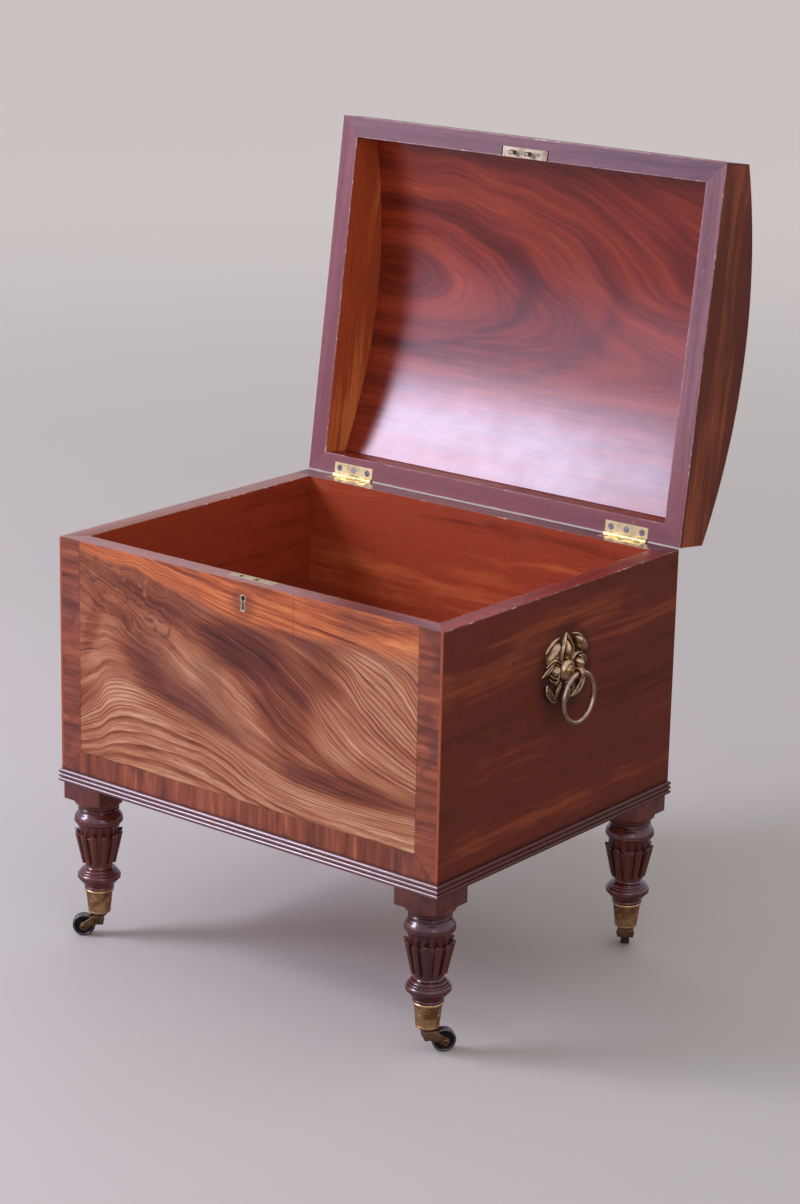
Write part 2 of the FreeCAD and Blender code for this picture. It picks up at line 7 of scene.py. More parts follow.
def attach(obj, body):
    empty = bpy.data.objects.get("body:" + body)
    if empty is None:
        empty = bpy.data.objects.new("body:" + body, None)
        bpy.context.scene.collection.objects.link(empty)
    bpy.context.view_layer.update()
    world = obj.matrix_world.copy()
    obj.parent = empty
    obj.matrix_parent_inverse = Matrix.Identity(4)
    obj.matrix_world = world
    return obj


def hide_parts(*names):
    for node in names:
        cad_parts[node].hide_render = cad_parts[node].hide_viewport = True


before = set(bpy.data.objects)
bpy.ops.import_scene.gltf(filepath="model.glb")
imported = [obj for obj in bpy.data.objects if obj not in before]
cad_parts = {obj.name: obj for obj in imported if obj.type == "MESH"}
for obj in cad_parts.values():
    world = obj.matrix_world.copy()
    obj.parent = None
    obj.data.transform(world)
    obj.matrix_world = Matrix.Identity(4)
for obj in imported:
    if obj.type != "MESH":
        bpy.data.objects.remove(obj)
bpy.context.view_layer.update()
mm = 0.001
print("frame loaded:", len(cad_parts), "nodes")

# The lid lies in its open place. These turn a point between that and the closed lid.
lidHinge = {"y": 222.0, "z": 495.25, "openDegrees": 97.7}
hingePoint = Vector((0, lidHinge["y"] * mm, lidHinge["z"] * mm))
openTurn = Matrix.Rotation(-math.radians(lidHinge["openDegrees"]), 4, "X")
lidOpened = Matrix.Translation(hingePoint) @ openTurn @ Matrix.Translation(-hingePoint)
lidClosed = lidOpened.inverted()


# Node trees

class Value:
    # A socket that can be added, multiplied and so on
    def __init__(self, maker, socket):
        self.maker, self.socket = maker, socket

    def math(self, operation, *others):
        return self.maker.math(operation, self, *others)

    def __add__(self, other):
        return self.math("ADD", other)

    def __sub__(self, other):
        return self.math("SUBTRACT", other)

    def __mul__(self, other):
        return self.math("MULTIPLY", other)

    def __truediv__(self, other):
        return self.math("DIVIDE", other)

    def __rsub__(self, other):
        return self.maker.math("SUBTRACT", other, self)

    __radd__, __rmul__ = __add__, __mul__

    def __abs__(self):
        return self.math("ABSOLUTE")

    def upTo(self, most):
        return self.math("MINIMUM", most)

    def step(self, low, high):
        # 0 below low, 1 above high and smooth between them; low may be the larger one
        settings = {"interpolation_type": "SMOOTHSTEP", "clamp": True}
        if low < high:
            return self.maker.node("ShaderNodeMapRange", settings, self, low, high)
        return 1.0 - self.maker.node("ShaderNodeMapRange", settings, self, high, low)

    def band(self, middle, reach):
        return abs(self - middle).step(reach, 0.0)


class NodeMaker:
    # Adds nodes to a tree, with their inputs in order or by name
    def __init__(self, tree):
        self.tree = tree
        tree.nodes.clear()

    def node(self, kind, settings=None, *inputs, out=0, **named):
        made = self.tree.nodes.new(kind)
        for key, setting in (settings or {}).items():
            if key == "stops":
                self.fillRamp(made.color_ramp, setting)
            elif key == "curve":
                self.fillCurve(made.mapping, setting)
            else:
                setattr(made, key, setting)
        for key, given in list(enumerate(inputs)) + list(named.items()):
            if given is None:
                continue
            socket = made.inputs[key.replace("_", " ") if isinstance(key, str) else key]
            if isinstance(given, Value):
                self.tree.links.new(given.socket, socket)
            else:
                socket.default_value = given
        return Value(self, made.outputs[out])

    def math(self, operation, *inputs):
        return self.node("ShaderNodeMath", {"operation": operation}, *inputs)

    def vector(self, x, y, z):
        return self.node("ShaderNodeCombineXYZ", None, x, y, z)

    def end(self, kind, value):
        self.tree.links.new(value.socket, self.tree.nodes.new(kind).inputs[0])

    @staticmethod
    def fillRamp(ramp, stops):
        while len(ramp.elements) < len(stops):
            ramp.elements.new(0.5)
        for element, (place, colour) in zip(ramp.elements, stops):
            element.position, element.color = place, colour

    @staticmethod
    def fillCurve(mapping, points):
        curve = mapping.curves[0]
        while len(curve.points) < len(points):
            curve.points.new(0.5, 0.5)
        for point, place in zip(curve.points, points):
            point.location = place
        mapping.update()

    def follow(self, value, points):
        # A smooth line through points (x, y) of any size, read at value
        xs, ys = zip(*points)
        x0, wide, y0, high = xs[0], xs[-1] - xs[0], min(ys), max(max(ys) - min(ys), 1e-6)
        place = self.node("ShaderNodeMapRange", {"clamp": True}, value, x0, x0 + wide)
        line = [((x - x0) / wide, (y - y0) / high) for x, y in points]
        return self.node("ShaderNodeFloatCurve", {"curve": line}, 1.0, place) * high + y0


class Finish(NodeMaker):
    # A material and what it takes to build it
    def __init__(self, name):
        self.material = bpy.data.materials.new(name)
        self.material.use_nodes = True
        super().__init__(self.material.node_tree)

    def parts(self, vector):
        split = self.node("ShaderNodeSeparateXYZ", None, vector)
        return [Value(self, socket) for socket in split.socket.node.outputs]

    def mapped(self, vector, location=(0, 0, 0), degrees=(0, 0, 0), scale=(1, 1, 1)):
        turns = tuple(math.radians(a) for a in degrees)
        return self.node("ShaderNodeMapping", {"vector_type": "POINT"}, vector, location, turns, scale)

    def place(self, location=(0, 0, 0), degrees=(0, 0, 0)):
        return self.mapped(self.node("ShaderNodeTexCoord", out="Object"), location, degrees)

    def raised(self):
        # What hollowsMarked writes on a mesh
        return self.node("ShaderNodeAttribute", {"attribute_name": "raised"}, out="Fac")

    def turned(self, vector, degrees):
        return self.mapped(vector, degrees=degrees)

    def stretched(self, vector, scale):
        return self.mapped(vector, scale=scale)

    def shifted(self, vector, shift):
        return self.node("ShaderNodeVectorMath", {"operation": "ADD"}, vector, shift)

    def cloud(self, vector, scale, detail, rough=0.5, warp=0.0, seed=0.0):
        # scale is one number, or one for each axis
        if isinstance(scale, tuple):
            vector, scale = self.stretched(vector, scale), 1.0
        start = self.shifted(vector, (seed, seed * 0.7, seed * 1.3))
        return self.node("ShaderNodeTexNoise", {"noise_dimensions": "3D"}, Vector=start, Scale=scale,
                         Detail=detail, Roughness=rough, Distortion=warp)

    def mix(self, share, first, second):
        # Inputs 6 and 7 of the node are its colours
        unused = [None] * 5
        return self.node("ShaderNodeMix", {"data_type": "RGBA"}, share, *unused, first, second, out=2)

    def over(self, colour, *layers):
        # Each layer is a share and a tone that lies over the ones before it
        for share, shade in layers:
            colour = self.mix(share, colour, tone(*shade))
        return colour

    def ramp(self, value, *stops):
        return self.node("ShaderNodeValToRGB", {"stops": [(place, tone(*colour)) for place, colour in stops]}, value)

    def bump(self, height, depth, strength, normal=None):
        return self.node("ShaderNodeBump", None, Strength=strength, Distance=depth, Height=height, Normal=normal)

    def close(self, colour, roughness, normal=None, metallic=0.0, specular=0.5, coat=0.0):
        named = {"Base Color": colour, "Roughness": roughness, "Metallic": metallic, "Normal": normal,
                 "Specular IOR Level": specular, "Coat Weight": coat, "Coat Roughness": 0.2}
        self.end("ShaderNodeOutputMaterial", self.node("ShaderNodeBsdfPrincipled", None, **named))
        return self.material


def tone(*channels):
    # A colour given in the 0-255 numbers of a screen
    shares = [c / 255 for c in channels]
    return (*(c / 12.92 if c <= 0.04045 else ((c + 0.055) / 1.055) ** 2.4 for c in shares), 1.0)


def far(a, b):
    return (a * a + b * b).math("SQRT")


# Woods

seats = {"insideX": 256.3, "insideY": 197.3, "outsideX": 280.0, "outsideY": 221.0, "rimZ": 494.75, "lidRimZ": 495.75,
         "footZ": 212.0, "bandX": 249.0, "bandZ": 240.0, "lidBandY": -12.0, "lidBandHalf": 180.0, "rosetteZ": 403.0,
         "keyX": 1.4, "keyZ": 470.0, "rounding": 0.6}
grainTurns = {"x": (0, 0, 0), "y": (0, 0, -90), "z": (0, 90, 0)}

# Dark, middle and light of the faces that look inwards; a rim has two tones and a third for its left part. The
# purple-grey of the lid's rims is partly a painted sheen, and the third tone paints the light and sheen on the left
# part of each rim.
redInside = ((112, 42, 26), (164, 68, 42), (204, 104, 62))
boxRim, endRim = ((96, 38, 32), (132, 62, 50), (196, 142, 126)), ((104, 30, 22), (138, 44, 32), (186, 160, 146))
lidRim, lidBackRim = ((84, 46, 54), (116, 70, 80), (126, 76, 80)), ((106, 56, 62), (142, 84, 92), (158, 92, 92))
lidEndRim = ((118, 78, 86), (150, 102, 112), (116, 42, 42))


def closedLidPlace(wood):
    # Object coordinates turned back to the closed lid, so that its grain and figure run true
    shift = hingePoint - openTurn.inverted() @ hingePoint
    return wood.place(tuple(shift), (lidHinge["openDegrees"], 0, 0))


def grainOf(wood, along, seed, sway=0.02):
    # Figure that runs along X of the given coordinates, each value about 0.5
    drift = (wood.cloud(along, 6.0, 2.0, 0.5, 0.0, seed + 4.1) - 0.5) * sway
    bent = wood.shifted(along, wood.vector(0.0, drift, drift))
    return {
        "broad": wood.cloud(bent, (1.5, 16, 16), 3.0, 0.55, 0.3, seed),
        "streak": wood.cloud(bent, (2.6, 75, 75), 3.0, 0.6, 0.0, seed + 2.2),
        "fine": wood.cloud(bent, (9, 230, 230), 3.0, 0.6, 0.0, seed + 1.7),
        "ribbon": wood.cloud(bent, (14, 26, 26), 2.0, 0.5, 0.7, seed + 3.3),
        "pores": wood.cloud(bent, (60, 1300, 1300), 1.0, 0.5, 0.0, seed + 5.9).step(0.37, 0.28),
    }


def polished(wood, colour, grain, place, roughness, seed, wave=0.5, specular=0.5, depth=0.5, coat=0.0):
    # The polish of old wood: uneven sheen, slow waves and open pores
    patches = wood.cloud(place, 22.0, 3.0, 0.6, 0.4, seed + 8) - 0.5
    sheen = roughness + patches * (0.6 * roughness) + grain["pores"] * 0.15
    waves = wood.bump(wood.cloud(place, 8.0, 1.0, 0.5, 0.0, seed + 9), 0.0012, wave)
    relief = wood.bump(grain["fine"] * 0.4 - grain["pores"], 0.0001, depth, waves)
    return wood.close(colour, sheen, relief, specular=specular, coat=coat)


def inside(x, y):
    # 1 on the faces that look into the box
    inX, inY, rounding = seats["insideX"] * mm, seats["insideY"] * mm, seats["rounding"] * mm
    return abs(x).step(inX, inX - rounding) * abs(y).step(inY, inY - rounding)


def edgeWearAndGlint(wood, x, y, height, seed):
    # 1 on the rounded edges of a rim, broken by chance, where wear and a painted highlight are laid; height is the
    # distance from the rim's face
    inX, inY = ((seats[key] - seats["rounding"]) * mm for key in ("insideX", "insideY"))
    outX, outY = seats["outsideX"] * mm, seats["outsideY"] * mm
    endEdge = abs(abs(x) - inX).step(0.0013, 0.0004) * abs(y).step(inY + 0.001, inY - 0.001)
    longEdge = abs(abs(y) - inY).step(0.0013, 0.0004) * abs(x).step(inX + 0.001, inX - 0.001)
    outEdge = abs(x).step(outX - 0.0012, outX - 0.0003) + abs(y).step(outY - 0.0014, outY - 0.0005)
    worn = wood.cloud(wood.vector(x, y, 0.0), 45.0, 3.0, 0.6, 0.0, seed).step(0.2, 0.8)
    return (endEdge + longEdge + outEdge).upTo(1.0) * abs(height).step(0.0016, 0.0006) * worn


def rimTones(wood, x, y, streak, rim, onLid):
    low, high, left = rim
    colour = wood.mix(streak.step(0.3, 0.7), tone(*low), tone(*high))
    # Painted light on the rims: toward the back the box rim is painted darker, a painted shade by the gap under the
    # open lid, the lid's rims turn redder there, and the left part takes the third tone, a painted light and sheen
    back = (y.step(0.05, 0.2) * 0.6, (130, 74, 82)) if onLid else (y.step(0.194, 0.2) * 0.5, (70, 42, 56))
    return wood.over(colour, (x.step(0.22, -0.02) * 0.42, left), back)


def boardWood(name, along, tones, redder=redInside, rim=boxRim, lines=(), roughness=0.32, onLid=False, halo=False,
              seed=0.0, contrast=1.0, **polish):
    # tones are the outside's dark, middle and light; redder are those of the faces that look inwards
    wood = Finish(name)
    seen = closedLidPlace(wood) if onLid else wood.place()
    x, y, z = wood.parts(seen)
    grain = grainOf(wood, wood.turned(seen, grainTurns[along]), seed)
    shade = (grain["broad"] - 0.5) * (1.3 * contrast) + (grain["streak"] - 0.5) * (0.6 * contrast) + (
        grain["fine"] - 0.5) * 0.4 + (grain["ribbon"] - 0.5) * 0.3 + 0.5
    # Single darker or lighter lines: (level, reach, strength, start, end)
    run = x if along == "x" else y
    height = z + (wood.cloud(seen, (2, 4, 1), 2.0, 0.5, 0.0, seed + 21) - 0.5) * 0.03
    for level, reach, strength, start, end in lines:
        there = height.band(level * mm, reach * mm) * run.band((start + end) / 2 * mm, (end - start) / 2 * mm)
        shade = shade + there * (0.7 * strength) * (grain["streak"] + grain["fine"] - 0.2)
    outer, inner = (wood.ramp(shade, (0.1, dark), (0.42, middle), (0.62, middle), (0.95, light))
                    for dark, middle, light in (tones, redder))
    indoors = inside(x, y)
    colour = wood.mix(indoors, outer, inner)
    # The rim, with scuffs on its face, and wear and a painted highlight along its edges
    lidRimZ, rimZ, footZ = (seats[key] * mm for key in ("lidRimZ", "rimZ", "footZ"))
    top = z.step(lidRimZ + 0.0004, lidRimZ) if onLid else z.step(rimZ - 0.0004, rimZ)
    scuffs = wood.cloud(seen, 60.0, 4.0, 0.7, 1.5, seed + 31).step(0.66, 0.74)
    face = wood.over(rimTones(wood, x, y, grain["streak"], rim, onLid), (scuffs * 0.4, (176, 146, 140)))
    colour = wood.mix(top, colour, face)
    edge = edgeWearAndGlint(wood, x, y, z - (lidRimZ if onLid else rimZ + 0.00025), seed)
    chips = wood.cloud(seen, 110.0, 2.0, 0.5, 0.0, seed + 41).step(0.58, 0.66)
    # The pale edge tone is partly wear and partly a painted highlight along the rounded edges, palest on the lid
    wearAndGlintTone = tone(212, 174, 170) if onLid else tone(178, 124, 108)
    colour = wood.mix(edge * (chips * 0.4 + 0.55), colour, wood.mix(chips, wearAndGlintTone, tone(232, 214, 212)))
    if not onLid:
        # Painted shade on the outside just above the moulding
        shadeAboveMoulding = z.step(footZ + 0.007, footZ) * (1 - indoors)
        colour = wood.over(colour, (shadeAboveMoulding * 0.6, (34, 16, 12)))
    if halo:
        # Painted shade round the rosettes of the handles
        near = far(y, z - seats["rosetteZ"] * mm).step(0.062, 0.036)
        outdoors = (abs(x) - (seats["outsideX"] - 1) * mm).step(0.0, 0.0005)
        colour = wood.over(colour, (near * outdoors * 0.75, (40, 17, 14)))
    colour = wood.over(colour, (grain["pores"] * 0.45, (30, 12, 8)))
    return polished(wood, colour, grain, seen, roughness, seed, **polish)


def blot(u, v, middle, reach, degrees, edge=0.45):
    # A soft oval, 1 in its middle and 0 outside
    turn = math.radians(degrees)
    du, dv = u - middle[0], v - middle[1]
    a = (du * math.cos(turn) + dv * math.sin(turn)) / reach[0]
    b = (dv * math.cos(turn) - du * math.sin(turn)) / reach[1]
    return far(a, b).step(1.0 + edge, 1.0 - edge)


# Lines that the grain of the front follows, from the lowest up, in tenths of a metre from the panel's foot
flameLines = [
    [(-2.5, -0.5), (2.5, -0.5)],
    [(-2.5, 0.30), (-2.2, 0.42), (-1.55, 0.70), (-0.9, 0.66), (-0.3, 0.52), (0.2, 0.32), (0.7, 0.18), (1.4, 0.16),
     (2.5, 0.18)],
    [(-2.5, 0.55), (-2.2, 0.8), (-1.8, 1.02), (-1.05, 0.92), (-0.3, 0.72), (0.2, 0.55), (1.2, 0.38), (2.5, 0.40)],
    [(-2.5, 2.2), (-1.55, 1.72), (-0.9, 1.40), (-0.3, 1.05), (0.2, 0.78), (0.75, 0.60), (1.35, 0.50), (2.5, 0.44)],
    [(-2.5, 2.35), (-1.55, 2.02), (-0.65, 1.68), (0.2, 1.32), (0.6, 0.98), (1.0, 0.78), (1.6, 0.60), (2.5, 0.52)],
    [(-2.5, 2.45), (-1.3, 2.25), (-0.3, 2.02), (0.4, 1.78), (0.95, 1.47), (1.3, 1.08), (1.85, 0.78), (2.5, 0.62)],
    [(-2.5, 2.5), (-1.0, 2.33), (0.2, 2.15), (1.05, 2.04), (1.45, 1.85), (1.8, 1.5), (2.5, 1.06)],
    [(-2.5, 2.56), (-1.0, 2.4), (0.3, 2.25), (1.4, 2.14), (1.9, 2.05), (2.2, 1.88), (2.5, 1.58)],
    [(-2.5, 2.7), (-1.0, 2.55), (0.3, 2.42), (1.4, 2.32), (2.5, 2.26)],
    [(-2.5, 3.1), (2.5, 3.1)],
]


# Lighter and darker parts of the front: (middle, reach, degrees, gain), in the same tenths
flameParts = [
    ((-2.05, 1.2), (0.5, 0.42), -35, 0.18), ((-1.9, 0.9), (0.6, 0.2), 12, 0.04),
    ((-0.2, 1.1), (0.85, 0.26), -38, 0.22), ((-1.05, 1.55), (0.5, 0.2), -42, 0.14),
    ((0.0, 1.78), (0.55, 0.3), -8, -0.26), ((0.98, 1.84), (0.62, 0.26), -12, -0.06),
    ((0.62, 1.2), (0.42, 0.38), -40, -0.14), ((1.35, 1.5), (0.5, 0.16), -42, -0.12),
    ((-0.75, 0.95), (0.6, 0.16), -20, -0.1), ((-1.55, 1.35), (0.5, 0.2), -48, -0.12),
    ((0.3, 0.72), (0.9, 0.12), -12, -0.08), ((1.7, 0.52), (0.95, 0.11), 0, -0.18),
    ((-2.3, 1.55), (0.1, 0.45), -20, -0.15), ((-1.5, 2.05), (0.6, 0.12), -12, -0.12),
    ((-0.9, 0.78), (0.5, 0.1), -6, -0.08)]


def flameVeneer(name):
    wood = Finish(name)
    seen = wood.place()
    flat = wood.stretched(seen, (1, 0, 1))
    x, _, z = wood.parts(seen)
    panelX, panelZ = seats["bandX"] * mm, seats["bandZ"] * mm
    # u and v are tenths of a metre along and up the panel, bent a little by chance
    drift = wood.cloud(flat, 9.0, 3.0, 0.55, 0.0, 3.0) - 0.5
    drift2 = wood.cloud(flat, 26.0, 3.0, 0.6, 0.0, 7.0) - 0.5
    evenU, evenV = x / 0.1, (z - panelZ) / 0.1
    wild = blot(evenU, evenV, (-1.6, 1.9), (1.0, 0.6), -25) * 1.6 + 0.4
    u = evenU + drift * 0.18
    v = evenV + drift * 0.16 * wild + drift2 * 0.08 * wild
    # label counts the lines that lie below a point, and shares out the gap between two of them
    edges = [wood.follow(u, line) for line in flameLines]
    label = 0.0
    for low, high in zip(edges, edges[1:]):
        label = label + ((v - low) / (high - low).math("MAXIMUM", 0.04)).math("MAXIMUM", 0.0).upTo(1.0)

    # Streaks that follow the lines: coarse, middling and fine
    flow = [wood.vector(u * stretch, label * across, 0.0) for stretch, across in ((0.5, 2.2), (0.8, 7.0), (1.6, 26.0))]
    coarse, middling, fine = (wood.cloud(way, 1.0, 3.0, 0.6, 0.25, seed) for way, seed in zip(flow, (1.0, 5.0, 9.0)))
    rings = label * 7.5 + (wood.cloud(flow[0], 1.0, 2.0, 0.5, 0.0, 14.0) - 0.5) * 2.2
    ring = rings.math("FRACT")
    saw = ring.step(0.0, 0.14) * (1 - ring.step(0.5, 1.0) * 0.65)
    bottom, fan = label.step(2.15, 1.7), blot(u, v, (2.15, 1.35), (0.95, 0.72), -50, 0.3)
    lobe = blot(u, v, (1.35, 1.1), (0.42, 0.3), -48, 0.4)
    streaked = (bottom + fan + lobe * 0.8).upTo(1.0)

    level = 0.45
    for middle, reach, degrees, gain in flameParts:
        level = level + blot(u, v, middle, reach, degrees) * gain
    level = level + bottom * 0.08 + u.step(-1.6, 0.4) * bottom * 0.07 + fan * 0.12 + lobe * 0.13
    shade = level + (coarse - 0.5) * 0.44 + (middling - 0.5) * 0.6 + (fine - 0.5) * 0.8
    shade = shade + streaked * (saw - 0.6) * 0.4
    colour = wood.ramp(shade, (0.0, (66, 26, 15)), (0.24, (104, 44, 26)), (0.45, (142, 75, 46)), (0.68, (176, 112, 78)),
                       (1.0, (210, 162, 124)))
    # The redder strip along the top with golden lines
    start = wood.follow(u, [(-2.5, 5.0), (-1.0, 5.1), (0.0, 5.35), (1.0, 6.2), (2.0, 7.2), (2.5, 7.6)])
    golden = ((coarse - 0.5) * 0.9 + (middling - 0.5) * 1.0 + (fine - 0.5) * 0.5 + 0.42)
    orange = wood.ramp(golden, (0.15, (118, 48, 24)), (0.42, (182, 92, 46)), (0.68, (226, 134, 74)),
                       (0.95, (250, 194, 128)))
    colour = wood.mix((label - start).step(0.0, 0.75), colour, orange)
    # A knotted part, and purple shadows where the grain is quiet
    knotted = blot(u, v, (-1.7, 2.0), (0.85, 0.42), -22, 0.5)
    curl = wood.cloud(flat, 42.0, 4.0, 0.65, 1.6, 2.0)
    purple = wood.cloud(flat, 9.0, 2.0, 0.5, 0.8, 31.0).step(0.5, 0.7) * (1.0 - streaked)
    colour = wood.over(colour, (knotted * curl.step(0.44, 0.36) * 0.75, (84, 44, 30)),
                       (knotted * curl.step(0.56, 0.66) * 0.7, (178, 108, 62)), (purple * 0.35, (104, 60, 50)))
    # Pits, a crack below the rim, dirt along the joints and round the keyhole
    pits = wood.node("ShaderNodeTexVoronoi", {"feature": "F1"}, Vector=flat, Scale=26.0)
    pit = pits.step(0.055, 0.03) * wood.cloud(seen, 7.0, 1.0, 0.5, 0.0, 12.0).step(0.52, 0.6)
    crack = abs(x - 0.075 + drift2 * 0.004).step(0.0006, 0.0002) * z.step(0.44, 0.452)
    joint = abs(abs(x) - panelX).step(0.0012, 0.0004) + abs(z - panelZ).step(0.0012, 0.0004)
    keyhole = far(x - seats["keyX"] * mm, z - seats["keyZ"] * mm)
    pores = wood.cloud(wood.vector(u * 3.5, label * 70.0, 0.0), 1.0, 1.0, 0.5, 0.0, 4.0).step(0.40, 0.31)
    colour = wood.over(colour, ((pit + crack * 0.7 + joint * 0.8).upTo(1.0) * 0.8, (44, 22, 16)),
                       (keyhole.step(0.026, 0.008) * 0.55, (92, 40, 30)), (pores * 0.5, (62, 30, 20)))
    return polished(wood, colour, {"fine": fine, "pores": pores}, seen, 0.36, 3.0, 0.35)


def bandVeneer(name, onLid=False, seed=17.0):
    # Crossbanding: the grain runs across each strip, with mitres where strips meet
    wood = Finish(name)
    seen = closedLidPlace(wood) if onLid else wood.place()
    x, y, z = wood.parts(seen)
    beside = abs(x) - seats["bandX"] * mm
    below = abs(y - seats["lidBandY"] * mm) - seats["lidBandHalf"] * mm if onLid else seats["bandZ"] * mm - z
    upright = (beside - below).step(-0.0003, 0.0003)
    across, along = (y + z if onLid else z), x

    def strands(length, width):
        # Places for a grain that runs across each strip
        lying, standing = (wood.vector(along * k, across * j, 0.0) for k, j in ((length, width), (width, length)))
        return wood.mix(upright, standing, lying)

    broad = wood.cloud(strands(7, 85), 1.0, 3.0, 0.6, 0.2, seed)
    fine = wood.cloud(strands(20, 420), 1.0, 2.0, 0.6, 0.0, seed + 3)
    blotch = wood.cloud(seen, 24.0, 2.0, 0.5, 0.5, seed + 6)
    shade = (broad - 0.5) * (0.9 if onLid else 1.3) + (fine - 0.5) * 0.4 + 0.5
    colour = wood.ramp(shade, (0.1, (76, 34, 27)), (0.42, (124, 62, 43)), (0.62, (147, 76, 52)), (0.95, (188, 112, 76)))
    mitre = abs(beside - below).step(0.0007, 0.0002) * beside.step(0.0, 0.001) * below.step(0.0, 0.001)
    colour = wood.over(colour, (blotch.step(0.52, 0.68) * 0.6, (78, 48, 46)), (mitre * 0.7, (44, 20, 14)))
    if not onLid:
        # Painted shade on the crossbanding just above the moulding
        foot = z.step(seats["footZ"] * mm + 0.004, seats["footZ"] * mm)
        colour = wood.over(colour, (foot * 0.7, (40, 18, 14)))
    grain = {"fine": fine, "pores": fine.step(0.30, 0.22)}
    return polished(wood, colour, grain, seen, 0.36, seed, 0.35)


def lidInside(name):
    # The panel seen in the open lid: a swirling figure about one knot
    wood = Finish(name)
    seen = closedLidPlace(wood)
    x, y, _ = wood.parts(seen)
    u, v = x / 0.1, y / -0.1
    drift = wood.cloud(wood.stretched(seen, (1, 1, 0)), 4.5, 2.0, 0.5, 0.0, 5.0) - 0.5
    # Long tongues that start at the left end, level below them
    du, dv = (u + 2.3) / 2.5, v - 0.3 + drift * 0.45
    tongue = far(du, dv) + drift * 0.25
    below = dv.step(0.3, -1.1)
    label = below * (0.3 - v) + tongue * (1 - below)
    flow = [wood.vector(u * k, label * j, 0.0) for k, j in ((0.25, 2.6), (0.5, 8.0), (1.4, 34.0))]
    broad, middling, fine = (wood.cloud(way, 1.0, 3.0, 0.6, 0.3, seed) for way, seed in zip(flow, (2.0, 6.0, 11.0)))
    rings = tongue.band(0.80, 0.10) * 0.18 + tongue.band(1.30, 0.12) * 0.12 + tongue.band(0.2, 0.16) * 0.18
    shade = (broad - 0.5) * 0.72 + (middling - 0.5) * 0.5 + (fine - 0.5) * 0.5 + 0.52 - rings
    colour = wood.ramp(shade, (0.08, (74, 22, 15)), (0.36, (112, 36, 22)), (0.6, (148, 54, 30)), (0.95, (188, 86, 46)))
    pores = wood.cloud(seen, (60, 1300, 1300), 1.0, 0.5).step(0.34, 0.28)
    colour = wood.over(colour, (pores * 0.4, (56, 18, 14)))
    grain = {"fine": fine, "pores": pores * 0.12}
    return polished(wood, colour, grain, seen, 0.24 + (broad - 0.5) * 0.16, 5.0, 0.5, specular=0.75)


def turnedWood(name):
    # The legs: painted shade with some dirt in the quirks and flutes, and paler edges that are worn and partly a
    # painted highlight
    wood = Finish(name)
    seen = wood.place()
    grain = grainOf(wood, wood.turned(seen, (0, 90, 0)), 11.0, 0.01)
    raised = wood.raised()
    shade = (grain["broad"] - 0.5) * 1.0 + (grain["streak"] - 0.5) * 0.6 + (grain["fine"] - 0.5) * 0.3 + 0.5
    colour = wood.ramp(shade, (0.1, (46, 16, 14)), (0.45, (80, 32, 25)), (0.62, (96, 42, 32)), (0.95, (132, 65, 47)))
    rubbedAndLit = raised.step(0.58, 0.9) * wood.cloud(seen, 60.0, 3.0, 0.6, 0.4, 3.0).step(0.35, 0.6)
    # Near-black hollows are painted shade with some dirt; paler raised edges are wear and a painted highlight
    colour = wood.over(colour, (rubbedAndLit * 0.55, (150, 84, 62)), (raised.step(0.48, 0.24) * 0.9, (18, 7, 7)),
                       (grain["pores"] * 0.4, (24, 10, 8)))
    return polished(wood, colour, grain, seen, 0.2, 11.0, 0.08, specular=0.85, depth=0.1, coat=0.3)


def brass(name, clean, tarnish, deep, roughness, age, seed, worked=False):
    # worked pieces carry the attribute that keeps dirt in hollows and polish on edges
    metal = Finish(name)
    seen = metal.place()
    patches = metal.cloud(seen, 70.0, 4.0, 0.65, 0.6, seed)
    pits = metal.cloud(seen, 480.0, 2.0, 0.6, 0.0, seed + 2).step(0.38, 0.30)
    worn = patches + (0.5 - age)
    dirt = pits * age
    if worked:
        worn = worn + (metal.raised() - 0.5) * 1.3
        dirt = (dirt + metal.raised().step(0.50, 0.30)).upTo(1.0)
    worn = worn.step(0.32, 0.68)
    colour = metal.over(tone(*tarnish), (worn, clean), (dirt * 0.85, deep))
    sheen = roughness + (1.0 - worn) * 0.16 + dirt * 0.25 + (patches - 0.5) * 0.1
    relief = metal.bump(metal.cloud(seen, 300.0, 3.0, 0.6, 0.0, seed + 5) - pits, 0.0001, 0.5)
    return metal.close(colour, sheen, relief, metallic=(1.0 - dirt * 0.5))


goldTones = ((92, 42, 26), (146, 80, 50), (196, 134, 88))
lidTones = ((70, 26, 20), (108, 44, 30), (150, 72, 44))
